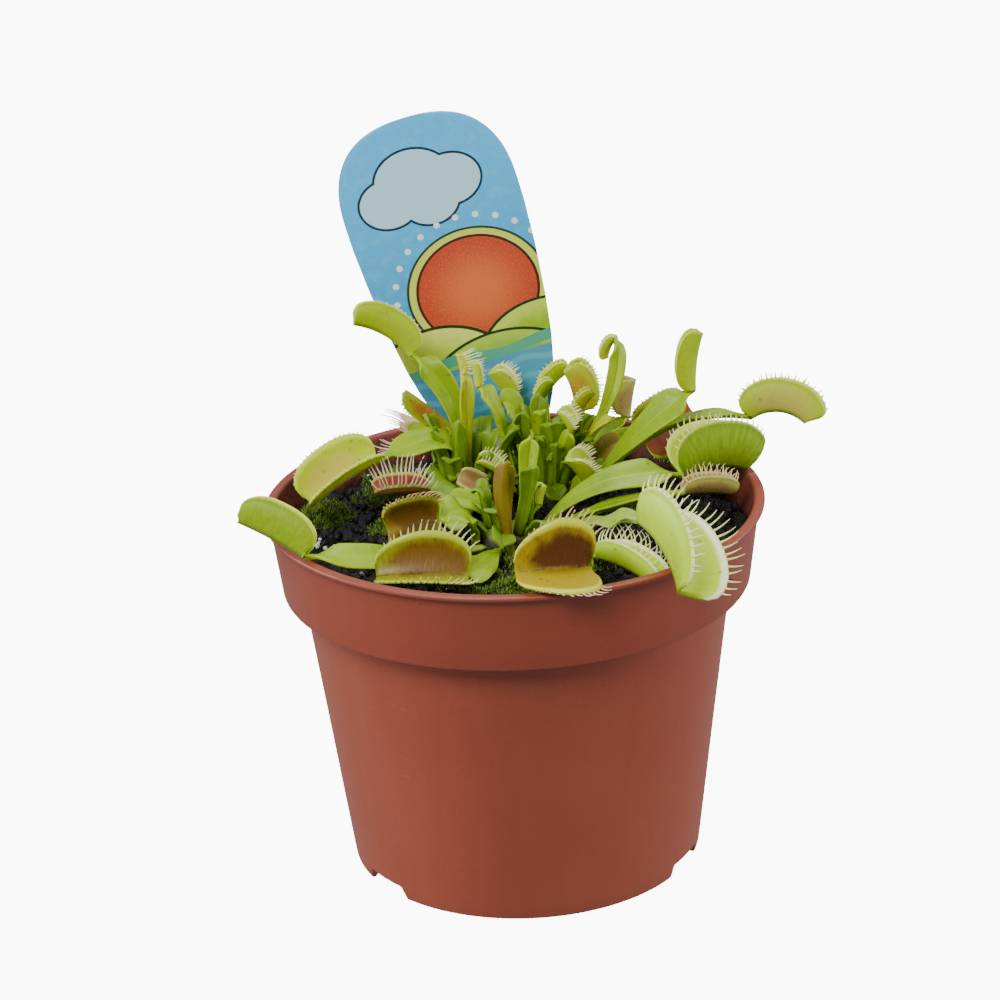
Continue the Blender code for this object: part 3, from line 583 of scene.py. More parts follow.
def strands(rng, x, y, length, radius, lift):
    """Thin three-sided fibres lying on the soil along shallow arcs."""
    count, rings = len(x), 7
    u = np.linspace(0, 1, rings)
    heading = rng.uniform(0, 2 * pi, count)[:, None]
    bend = rng.uniform(-1.4, 1.4, count)[:, None]
    step = length[:, None] / (rings - 1)
    px = x[:, None] + np.cumsum(np.cos(heading + bend * u) * step, 1)
    py = y[:, None] + np.cumsum(np.sin(heading + bend * u) * step, 1)
    pz = crumbled_height(px, py) + lift * np.sin(pi * u) + 0.15
    return tubes(np.stack([px, py, pz], -1), radius * np.sin(pi * np.clip(u, 0.06, 0.94)) ** 0.5, 3)


def grit(rng, count):
    """White grains: most in one heap by the rim, the rest spread over the soil."""
    grains, faces = ball(5, 7)
    heaped = np.arange(count) < count * 0.6
    x, y = (np.where(heaped, rng.normal(middle, spread, count), rng.uniform(-30, 30, count))
            for middle, spread in zip(GRIT_HEAP, (1.5, 1.6)))
    size = rng.uniform(0.15, 0.5, count)
    shapes = grains * (1 + rng.uniform(-0.3, 0.3, (count, len(grains), 1)))
    places = np.stack([x, y, crumbled_height(x, y) + 0.2], -1)
    return scattered(shapes, faces, places, size, rng.uniform(0, 6, count), rng.uniform(0, 3, count))


def moss_shoots(rng, x, y, tall):
    """Moss: at each place a rosette of narrow leaflets, flat below and steeper upwards.

    A leaflet is one diamond, its tip out and up, its shade rising to the tip.
    """
    count, leaflets = len(x), 9
    golden_angle = 2.4
    angle = golden_angle * np.arange(leaflets) + rng.uniform(0, 2 * pi, (count, 1))
    up = np.linspace(0.25, 1.25, leaflets) + rng.uniform(-0.15, 0.15, (count, leaflets))
    out = np.stack([np.cos(angle) * np.cos(up), np.sin(angle) * np.cos(up), np.sin(up)], -1)
    side = np.stack([-np.sin(angle), np.cos(angle), 0 * angle], -1)
    height = tall[:, None] * np.linspace(0.1, 0.8, leaflets)
    size = (tall[:, None] * rng.uniform(0.55, 0.9, (count, leaflets)))[..., None]
    base = np.stack([x[:, None] + 0 * angle, y[:, None] + 0 * angle,
                     crumbled_height(x, y)[:, None] + height], -1)
    middle = base + out * size * 0.45
    tip = base + out * size + [0, 0, 0.08]
    points = np.stack([base, middle + side * size * 0.16, tip, middle - side * size * 0.16], 2)
    faces = 4 * np.arange(count * leaflets)[:, None] + [0, 3, 2, 1]
    shade = np.tile([0.0, 0.6, 1.0, 0.6], count * leaflets)
    return points.reshape(-1, 3), faces, shade * rng.uniform(0.6, 1.0, len(shade))


class SoilSettings(bpy.types.PropertyGroup):
    """How much lies on the soil."""

    crumbs: IntProperty(name="Crumbs", description="Loose lumps of peat", default=1300, min=0)
    fibres: IntProperty(name="Fibres", description="Short root fibres", default=150, min=0)
    grit: IntProperty(name="Grit", description="White perlite grains", default=46, min=0)
    seed: IntProperty(name="Seed", description="Seed of every random draw on the soil", default=7)


class FLYTRAP_OT_soil(bpy.types.Operator):
    """Fill the pot with crumbled peat, with loose crumbs, fibres and white grit"""

    bl_idname = "flytrap.soil"
    bl_label = "Soil"

    def execute(self, context):
        """Make the soil, its crumbs and fibres, and the grit."""
        settings = context.scene.flytrap_soil
        rng = np.random.default_rng(settings.seed)
        peat = peat_material()
        radius = RIM_RADIUS - SOIL_INSET
        dress(mesh_object("soil_top", *soil_surface(radius)), peat, "peat", "soil")
        crumbs = lumps(rng, settings.crumbs, radius - 1.2, 0.35, 1.05)
        r = (radius - 6) * np.sqrt(rng.random(settings.fibres))
        a = rng.uniform(0, 2 * pi, settings.fibres)
        fibres = strands(rng, r * np.cos(a), r * np.sin(a), rng.uniform(3, 9, settings.fibres), 0.14, 0.5)
        dress(mesh_object("soil_crumbs", *joined([crumbs, fibres])), peat, "peat")
        dress(mesh_object("perlite_grit", *grit(rng, settings.grit)), perlite_material(), "peat")
        return {"FINISHED"}


# ---------------------------------------------------------------- moss

MOSS_PATCHES = (
    # x, y, radius, shoots
    (-38.5, 13.5, 5.0, 210), (-34.0, 11.0, 5.5, 190), (-25.0, 19.0, 5.0, 120), (-22.0, 3.0, 5.0, 90),
    (-8.0, -23.5, 6.5, 260), (-1.0, -26.0, 7.0, 240), (1.0, -14.0, 6.0, 170), (10.0, -15.0, 6.5, 200),
    (17.0, -14.5, 6.0, 130), (-14.0, -12.0, 6.0, 110), (24.0, 4.0, 6.0, 60), (20.0, 26.0, 7.0, 120),
    (-22.0, 28.0, 7.0, 120), (5.0, 34.0, 6.0, 90))


class FLYTRAP_OT_moss(bpy.types.Operator):
    """Grow moss in patches on the soil"""

    bl_idname = "flytrap.moss"
    bl_label = "Moss"

    def execute(self, context):
        """Scatter shoots in each patch, thicker and taller at its middle."""
        rng = np.random.default_rng(context.scene.flytrap_soil.seed + 1)
        shoots = []
        for x, y, radius, count in MOSS_PATCHES:
            a = rng.uniform(0, 2 * pi, count)
            r = radius * rng.random(count) ** 0.7
            tall = rng.uniform(0.8, 1.7, count) * (1.15 - 0.5 * r / radius)
            shoots.append([x + r * np.cos(a), y + r * np.sin(a), tall])
        x, y, tall = np.concatenate(shoots, 1)
        inside = np.hypot(x, y) < RIM_RADIUS - 4.0
        points, faces, shade = moss_shoots(rng, x[inside], y[inside], tall[inside])
        moss = mesh_object("moss", points, faces, {"shade": shade}, smooth=False)
        dress(moss, moss_material(), "leaf_green")
        return {"FINISHED"}


# ---------------------------------------------------------------- leaves


def spine(p, t):
    """Quadratic curve from the crown to the hinge, its tangents, and level directions across."""
    cx, cy = CROWNS[p["crown"]]
    h, b = radians(p["turn"]), radians(p["turn"]) + radians(p["veer"])
    out = np.array([cos(h), sin(h), 0.0])
    side = np.array([-sin(h), cos(h), 0.0])
    start = np.array([cx + p["root"] * cos(b), cy + p["root"] * sin(b), SOIL_Z + p["foot"]])
    end = np.array([cx, cy, SOIL_Z + p["rise"]]) + out * p["reach"]
    pull = np.array([0.0, 0.0, p["arch"]]) + side * p["sway"] - out * p["lean"]
    middle = (start + end) / 2 + 2 * pull
    t = t[:, None]
    centre = (1 - t) ** 2 * start + 2 * t * (1 - t) * middle + t * t * end
    tangent = unit(2 * (1 - t) * (middle - start) + 2 * t * (end - middle))
    return centre, tangent, unit(side - tangent * (tangent @ side)[:, None])


def arc(first, turn, v):
    """Point at v along an arc of unit length that leaves at one angle and turns by another."""
    return (np.sin(first + turn * v) - sin(first)) / turn, (cos(first) - np.cos(first + turn * v)) / turn


def petiole_half_width(p, t):
    """Narrow at the foot, widest at three quarters, drawn in at the neck or to a point."""
    width = p["base"] / 2 + (p["wing"] - p["base"]) / 2 * ease(t, 0, 0.72)
    close = np.clip((t - 0.80) / 0.14, 0, 1)
    return np.maximum(width * np.sqrt(np.clip(1 - close ** 2.6, 0, 1)), p["neck"] / 2)


def lobe_height(p, s):
    """Height of a lobe along the midrib: a full round near the hinge, blunt at the tip."""
    top = p["trap"] * p["lobe"]
    near = top * np.clip(1 - np.abs(2 * s - 1) ** 2.5, 0, 1) ** 0.4545
    x = np.clip(2 * s - 1, 0, 1)
    far = top * (p["blunt"] + (1 - p["blunt"]) * (1 - x ** p["taper"]) ** 0.6)
    return np.maximum(np.where(s < 0.5, near, far), p["neck"] / 2)


def along_path(s, at, path):
    """Points at s along a path given by rows at the stations at."""
    return np.stack([np.interp(s, at, path[:, k]) for k in range(3)], -1)


def trap_frame(p, s):
    """Points of the bent midrib from the hinge, with directions across and out of the mouth."""
    a, e, r = radians(p["aim"]), radians(p["lift"]), radians(p["mouth"])
    along = np.array([cos(a) * cos(e), sin(a) * cos(e), sin(e)])
    flat = np.array([-sin(a), cos(a), 0.0])
    up = np.cross(along, flat)
    across = flat * cos(r) + up * sin(r)
    mouth = up * cos(r) - flat * sin(r)
    count = 64
    phase = radians(p["curve"]) * ((np.arange(count) + 0.5) / count - 0.5)
    step = (along * np.cos(phase)[:, None] - mouth * np.sin(phase)[:, None]) * p["trap"] / count
    path = np.vstack([np.zeros(3), np.cumsum(step, 0)])
    centre = along_path(s, np.linspace(0, 1, count + 1), path)
    lean = radians(p["curve"] + p["fan"]) * (s - 0.5) - radians(p["slant"])
    opening = mouth * np.cos(lean)[:, None] + along * np.sin(lean)[:, None]
    return centre, across, opening


def turn_towards(across, normal, last_across, last_normal, share):
    """Rows of frames turned by a growing share of the rotation that takes the last row to a frame."""
    first = np.stack([across[-1], normal[-1], np.cross(across[-1], normal[-1])])
    last = np.stack([last_across, last_normal, np.cross(last_across, last_normal)])
    whole = last.T @ first
    angle = np.arccos(np.clip((np.trace(whole) - 1) / 2, -1, 1))
    axis = unit(np.array([whole[2, 1] - whole[1, 2], whole[0, 2] - whole[2, 0], whole[1, 0] - whole[0, 1]])
                + 1e-9)
    part = (angle * share)[:, None]

    def turned_by_part(v):
        return (v * np.cos(part) + np.cross(axis, v) * np.sin(part)
                + axis * (v @ axis)[:, None] * (1 - np.cos(part)))

    return turned_by_part(across), turned_by_part(normal)


def leaf_rows(p, t, s, v):
    """The leaf's middle surface: petiole rows at t, then trap rows at s, points across at v.

    A petiole row is two arcs folded up from the spine, waved at the margins; a trap row is
    two bowed lobes rising from the midrib, flared a little at the margins.
    """
    sign, mag = np.sign(v), np.abs(v)
    centre, tangent, across = spine(p, t)
    normal = np.cross(tangent, across)
    twist = np.radians(p["twist"]) * t
    wide = across * np.cos(twist)[:, None] + normal * np.sin(twist)[:, None]
    face = normal * np.cos(twist)[:, None] - across * np.sin(twist)[:, None]
    if p["trap"]:
        _middle, trap_wide, trap_face = trap_frame(p, np.zeros(1))
        wide, face = turn_towards(wide, face, trap_wide, trap_face[0], ease(t, 0.78, 1.0))
    x, y = arc(radians(p["fold"]), -radians(12), mag)
    half = petiole_half_width(p, t)[:, None]
    ripple = np.sin(2 * pi * t[:, None] * p["waves"] + 1.9 * sign + p["seed"]) * np.sin(pi * t)[:, None]
    y = y * half + p["wave"] * mag ** 2 * ripple
    rows = centre[:, None] + wide[:, None] * (sign * x * half)[..., None] + face[:, None] * y[..., None]
    if not p["trap"]:
        return rows
    midrib, trap_wide, opening = trap_frame(p, s)
    midrib = midrib + centre[-1]
    x, y = arc(radians(90 - p["gape"] / 2 - p["bulge"] / 2), radians(p["bulge"]), mag)
    high = lobe_height(p, s)[:, None]
    flare = p["flare"] * high * np.clip((mag - 0.82) / 0.18, 0, 1) ** 2
    spread = sign * np.sin(mag * pi / 2) * 0.5
    lobes = (midrib[:, None] + trap_wide * (sign * (x * high + flare) + spread)[..., None]
             + opening[:, None] * (y * high)[..., None])
    return np.concatenate([rows, lobes])


def blade_half_thickness(p, t, s, v):
    """Half thickness: fine at the margins, fuller inside, with a keel under the petiole."""
    mag = np.abs(v)[None]
    body = 0.13 + 0.25 * np.clip(1 - mag ** 3, 0, 1) ** 0.7
    keel = np.exp(-(mag * petiole_half_width(p, t)[:, None] / 0.55) ** 2) * (0.55 - 0.35 * t[:, None])
    if not p["trap"]:
        return body + keel, body + 0 * keel
    lobes = body + 0.12 * np.exp(-(mag / 0.10) ** 2) + 0.07 * ease(mag, 0.86, 0.94) + 0 * s[:, None]
    return np.concatenate([body + keel, lobes]), np.concatenate([body + 0.25 * keel, lobes])


def closed_sheet(rows, below, above):
    """A sheet made solid: its points moved each way along their normals, joined at the rim."""
    normal = unit(np.cross(np.gradient(rows, axis=0), np.gradient(rows, axis=1)))
    top = rows + normal * above[..., None]
    low = rows - normal * below[..., None]
    return np.concatenate([top, low]).reshape(-1, 3), sheet_faces(*rows.shape[:2])


def leaf_place(along, v):
    """Each point's way along (0 to 1 petiole, 1 to 2 trap), way across (-1 to 1) and side (1 upper
    or inner, -1 lower or outer), for both faces of a closed sheet."""
    face = np.stack([np.repeat(along, len(v)), np.tile(v, len(along)), np.ones(len(along) * len(v))], -1)
    return np.concatenate([face, face * [1, 1, -1]])


CILIUM_RINGS = 7
CILIUM_SIDES = 5
CILIUM_RADII = np.array([1.35, 1.0, 0.82, 0.68, 0.54, 0.4, 0.2])


def margin_cilia(p, trap, rng):
    """Teeth along both margins of the trap: tapered tubes that leave the lobe's edge in its own
    direction and curl over the mouth, longest at the middle of the lobe."""
    length = np.linspace(0, 1, len(trap))
    count = p["cilia"]
    q = 0.05 + 0.9 * (np.arange(count) + 0.5) / count
    u = np.linspace(0, 1, CILIUM_RINGS)[None, :, None]
    paths = []
    for edge, inner, sign in ((0, 3, -1.0), (-1, -4, 1.0)):
        at = np.clip(q + rng.uniform(-0.3, 0.3, count) * 0.6 / count, 0.03, 0.97)
        root = along_path(at, length, trap[:, edge])
        on = unit(along_path(at, length, np.gradient(trap[:, edge], axis=0)))
        out = unit(root - along_path(at, length, trap[:, inner]))
        over = -sign * trap_frame(p, at)[1]
        over = unit(over - out * (out @ over)[:, None])
        size = p["tooth"] * (0.6 + 0.4 * np.sin(pi * at)) * rng.uniform(0.82, 1.12, count)
        size = size * np.clip(1 + 2 * p["bias"] * (0.5 - at), 0.15, 2.0)
        splay = (at - 0.5)[:, None] * 0.5 + rng.normal(0, 0.07, (count, 1))
        reach = size[:, None, None]
        start = (root - out * 0.35)[:, None]
        paths.append(start + out[:, None] * reach * u * (1 - 0.12 * u)
                     + over[:, None] * reach * p["curl"] * u * u + on[:, None] * splay[:, None] * reach * u)
    return tubes(np.concatenate(paths), CILIUM_RADII * p["thick"], CILIUM_SIDES)


def leaf_mesh(name, p, rng):
    """One leaf as a single piece, with its place on the leaf and the way up each tooth, 0 on the
    blade and 1 at the tip, kept in attributes."""
    t, s = (np.linspace(0, 1, 34), np.linspace(0.02, 1, 30)) if p["trap"] else (
        np.linspace(0, 0.985, 46), np.zeros(0))
    v = np.sin(np.linspace(-1, 1, 23) * pi / 2) * 0.35 + np.linspace(-1, 1, 23) * 0.65
    rows = leaf_rows(p, t, s, v)
    parts = [closed_sheet(rows, *blade_half_thickness(p, t, s, v))]
    place = leaf_place(np.concatenate([t, 1 + s]), v)
    tooth = np.zeros(len(place))
    if p["trap"] and p["cilia"]:
        parts.append(margin_cilia(p, rows[len(t):], rng))
        climb = np.concatenate([np.repeat(np.linspace(0.05, 1, CILIUM_RINGS), CILIUM_SIDES), [0.05, 1.0]])
        tooth = np.concatenate([tooth, np.tile(climb, 2 * p["cilia"])])
        place = np.concatenate([place, np.tile([1.5, 1.0, 1.0], (len(tooth) - len(place), 1))])
    return mesh_object(name, *joined(parts), {"leaf_place": place, "tooth": tooth})


def leaf_material(name, look, shift):
    """Living leaf: veined petiole, blushed outside and flushed inside of the trap, painted shade in the
    trap's inner crease, pale margin band and pale teeth, with specks and streaks where the leaf is old."""
    sh = Shader(name, Subsurface_Weight=0.22, Subsurface_Scale=0.0012, Specular_IOR_Level=0.24,
                Coat_Weight=look["shine"], Coat_Roughness=0.2)
    sh.principled.inputs["Subsurface Radius"].default_value = (0.6, 1.0, 0.25)
    at = sh.place()
    along, across, side = sh.parts(sh.attribute("leaf_place"))
    tooth = sh.attribute("tooth", "Fac")
    mag = across.size()
    trap = along.rise(0.97, 1.04)
    inner = side.rise(-0.1, 0.1)
    cloud = sh.noise(at, 190.0, 3.0)
    fine = sh.noise(at, 1300.0, 3.0, 0.6)
    lines = sh.noise(sh.vector(across * 9 + shift, along * 1.6, side * 3), 2.2, 3.0, 0.6)
    ribs = sh.noise(sh.vector(along * 16 + shift, across * 1.2, side * 3), 2.0, 2.0, 0.55)

    petiole = sh.mix(lines.rise(0.3, 0.75) * 0.42, look["petiole"], look["petiole_light"])
    petiole = sh.mix((cloud * 1.2 + along * 0.5).rise(0.6, 1.05) * 0.3, petiole, look["petiole_light"])
    petiole = sh.mix(mag.rise(0.12, 0.02) * 0.5, petiole, look["petiole_light"])
    petiole = sh.mix(mag.rise(0.9, 1.0) * 0.45, petiole, look["petiole_light"])
    petiole = sh.mix(along.rise(0.16, 0.0) * 0.7, petiole, look["foot"])

    off_along, off_mag = (along - look["centre"]) * 1.9, (mag - 0.36) * 1.9
    middle = ((off_along * off_along + off_mag * off_mag) ** 0.5).rise(1.15, 0.1)
    patch = (middle + cloud * 1.1 + ribs * 0.5 - 0.8 + look["spread"]).rise(0.05, 0.85)
    outside = sh.mix(ribs.rise(0.3, 0.7) * 0.35, look["outside"], look["petiole_light"])
    outside = sh.mix(patch * look["blush_share"], outside, look["blush"])
    inside = sh.mix(mag.rise(0.83, 0.93), look["inside"], look["margin"])
    lobe = (across * look["one_lobe"]).rise(-0.35, 0.1)
    inside = sh.mix(patch * mag.rise(0.96, 0.80) * lobe * look["flush_share"], inside, look["flush"])
    # Painted shade: flushed traps are darkened along the inner crease between the lobes.
    fold = (mag + fine * 0.08).rise(0.12, 0.05) * cloud.rise(0.35, 0.6)
    inside = sh.mix(fold * look["flush_share"] * 0.7, inside, look["dark"])
    blade = sh.mix(inner, outside, inside)
    blade = sh.mix(mag.rise(0.93, 1.0) * 0.6, blade, look["margin"])
    colour = sh.mix(trap, petiole, blade)

    streak = sh.noise(sh.vector(along * 30 + shift, mag * 2.4, side), 2.0, 4.0, 0.65).rise(0.56, 0.68)
    colour = sh.mix(streak * trap * look["streaks"], colour, look["dark"])
    specks = sh.cells(at, 950.0).rise(0.34, 0.2) * cloud.rise(0.45, 0.65) * mag.rise(0.7, 0.1)
    colour = sh.mix(specks * look["specks"], colour, look["dark"])
    blemish = sh.cells(at, 420.0).rise(0.22, 0.1) * fine.rise(0.4, 0.6)
    colour = sh.mix(blemish * 0.5, colour, look["dark"])
    colour = sh.mix((cloud - 0.5).size().rise(0.0, 0.3) * 0.12, colour, look["dark"])
    spikes = sh.mix(tooth, look["tooth"], look["tooth_tip"])
    colour = sh.mix(tooth.rise(0.0, 0.04), colour, spikes)
    rough = 0.36 - inner * trap * mag.rise(0.8, 0.95) * 0.2 + fine * 0.12 + streak * look["streaks"] * 0.2
    veins = lines * (1 - trap) * 0.25 + ribs * trap * 0.5 + fine * 0.16 + cloud * 0.6
    return sh.finish(colour, rough, veins, 0.00028, 0.5)


def look(**given):
    """A leaf's base colours from screen colours, and its markings: the fresh green ones unless given."""
    colours = dict(
        petiole=(116, 138, 24), petiole_light=(166, 178, 50), foot=(170, 172, 86),
        outside=(160, 170, 40), inside=(164, 174, 46), margin=(200, 204, 92),
        blush=(184, 164, 98), flush=(158, 136, 48), tooth=(200, 200, 122),
        tooth_tip=(224, 216, 176), dark=(78, 66, 22),
        blush_share=0.0, flush_share=0.0, streaks=0.0, specks=0.0, shine=0.06, one_lobe=0.0, centre=1.5,
        spread=0.0)
    colours.update(given)
    return {key: srgb(*value) if isinstance(value, tuple) else value for key, value in colours.items()}


LOOKS = {
    "fresh": look(),
    "bright": look(petiole=(126, 150, 30), outside=(134, 152, 26), inside=(146, 164, 36)),
    "glossy": look(outside=(116, 138, 26), petiole=(112, 134, 28), shine=0.22,
                   margin=(190, 196, 104), tooth=(190, 192, 100)),
    "blushed": look(outside=(168, 174, 44), blush=(190, 164, 108), blush_share=0.6, centre=1.55,
                    inside=(178, 184, 56), flush=(188, 160, 96), flush_share=0.75,
                    dark=(120, 110, 50)),
    "gape": look(outside=(180, 200, 34), inside=(188, 202, 50), margin=(234, 238, 196),
                 tooth=(206, 212, 120), tooth_tip=(232, 232, 178), shine=0.3,
                 petiole=(126, 146, 62), petiole_light=(166, 178, 96)),
    "olive": look(outside=(164, 166, 50), inside=(142, 142, 26), blush=(132, 92, 26),
                  blush_share=0.4, flush=(112, 74, 10), flush_share=0.95, specks=0.5, one_lobe=-1.0,
                  centre=1.45, spread=0.35, margin=(176, 182, 84), dark=(70, 44, 12)),
    "rusty": look(outside=(176, 162, 40), inside=(164, 138, 28), blush=(140, 88, 22),
                  blush_share=0.5, flush=(84, 38, 6), flush_share=0.95, specks=1.0, streaks=0.25,
                  one_lobe=-1.0, centre=1.35, spread=0.27, margin=(196, 188, 78), tooth=(200, 160, 116),
                  tooth_tip=(216, 182, 160), dark=(62, 28, 8)),
    "dusky": look(outside=(142, 134, 44), inside=(138, 112, 36), blush=(116, 84, 28),
                  blush_share=0.6, flush=(88, 56, 16), flush_share=1.0, specks=0.3, spread=0.3,
                  margin=(164, 156, 74), tooth=(180, 132, 88), tooth_tip=(204, 170, 130),
                  petiole=(112, 136, 34), dark=(54, 34, 12)),
    "crimson": look(outside=(180, 166, 72), inside=(146, 84, 44), flush=(120, 38, 24),
                    flush_share=1.0, blush=(166, 104, 56), blush_share=0.4),
    "scarlet": look(outside=(150, 100, 66), blush=(158, 74, 52), blush_share=0.8,
                    inside=(140, 70, 46), flush=(124, 44, 30), flush_share=0.9,
                    margin=(176, 166, 92), tooth=(204, 188, 150), tooth_tip=(226, 214, 194),
                    petiole=(92, 124, 34), petiole_light=(140, 160, 60)),
    "amber": look(outside=(172, 168, 64), blush=(178, 118, 50), blush_share=0.7, streaks=0.2),
    "faded": look(outside=(164, 146, 94), inside=(168, 140, 96), blush=(144, 108, 74),
                  blush_share=0.7, flush=(132, 90, 60), flush_share=0.7, streaks=0.6,
                  margin=(186, 174, 110), tooth=(190, 164, 124), tooth_tip=(204, 182, 150)),
    "pink": look(outside=(168, 176, 66), inside=(166, 172, 70), tooth=(204, 166, 140),
                 tooth_tip=(216, 184, 170)),
    "pale": look(petiole=(134, 152, 36), outside=(172, 178, 66), inside=(178, 184, 80),
                 margin=(216, 214, 146), foot=(200, 198, 140)),
    "yellowed": look(petiole=(152, 158, 44), petiole_light=(190, 182, 66),
                     outside=(196, 186, 80)),
    "russet": look(petiole=(118, 112, 36), petiole_light=(152, 108, 54), outside=(130, 90, 30)),
    "split": look(outside=(150, 152, 54), blush=(150, 78, 36), blush_share=0.8, streaks=0.15,
                  inside=(150, 120, 50), petiole=(104, 74, 20), petiole_light=(134, 118, 34)),
    "deep": look(petiole=(88, 112, 20), petiole_light=(136, 154, 40), foot=(64, 68, 24)),
}

LEAF_DEFAULTS = dict(
    crown="front", turn=0.0, veer=0.0, reach=30.0, rise=6.0, root=6.1, foot=1.3, arch=4.0, sway=0.0,
    lean=0.0, wing=5.0, fold=20.0, twist=0.0, base=1.8, neck=1.3, trap=0.0, aim=0.0, lift=0.0,
    mouth=0.0, gape=30.0, bulge=50.0, lobe=0.5, blunt=0.5, curve=20.0, fan=30.0, slant=0.0,
    taper=3.0, tooth=0.0,
    cilia=0, curl=0.3, thick=0.2, bias=0.0, flare=0.06, waves=1.5, wave=0.25, look="fresh")

# Width of the neck where a leaf ends without a trap.
BLUNT_NECK = 0.5

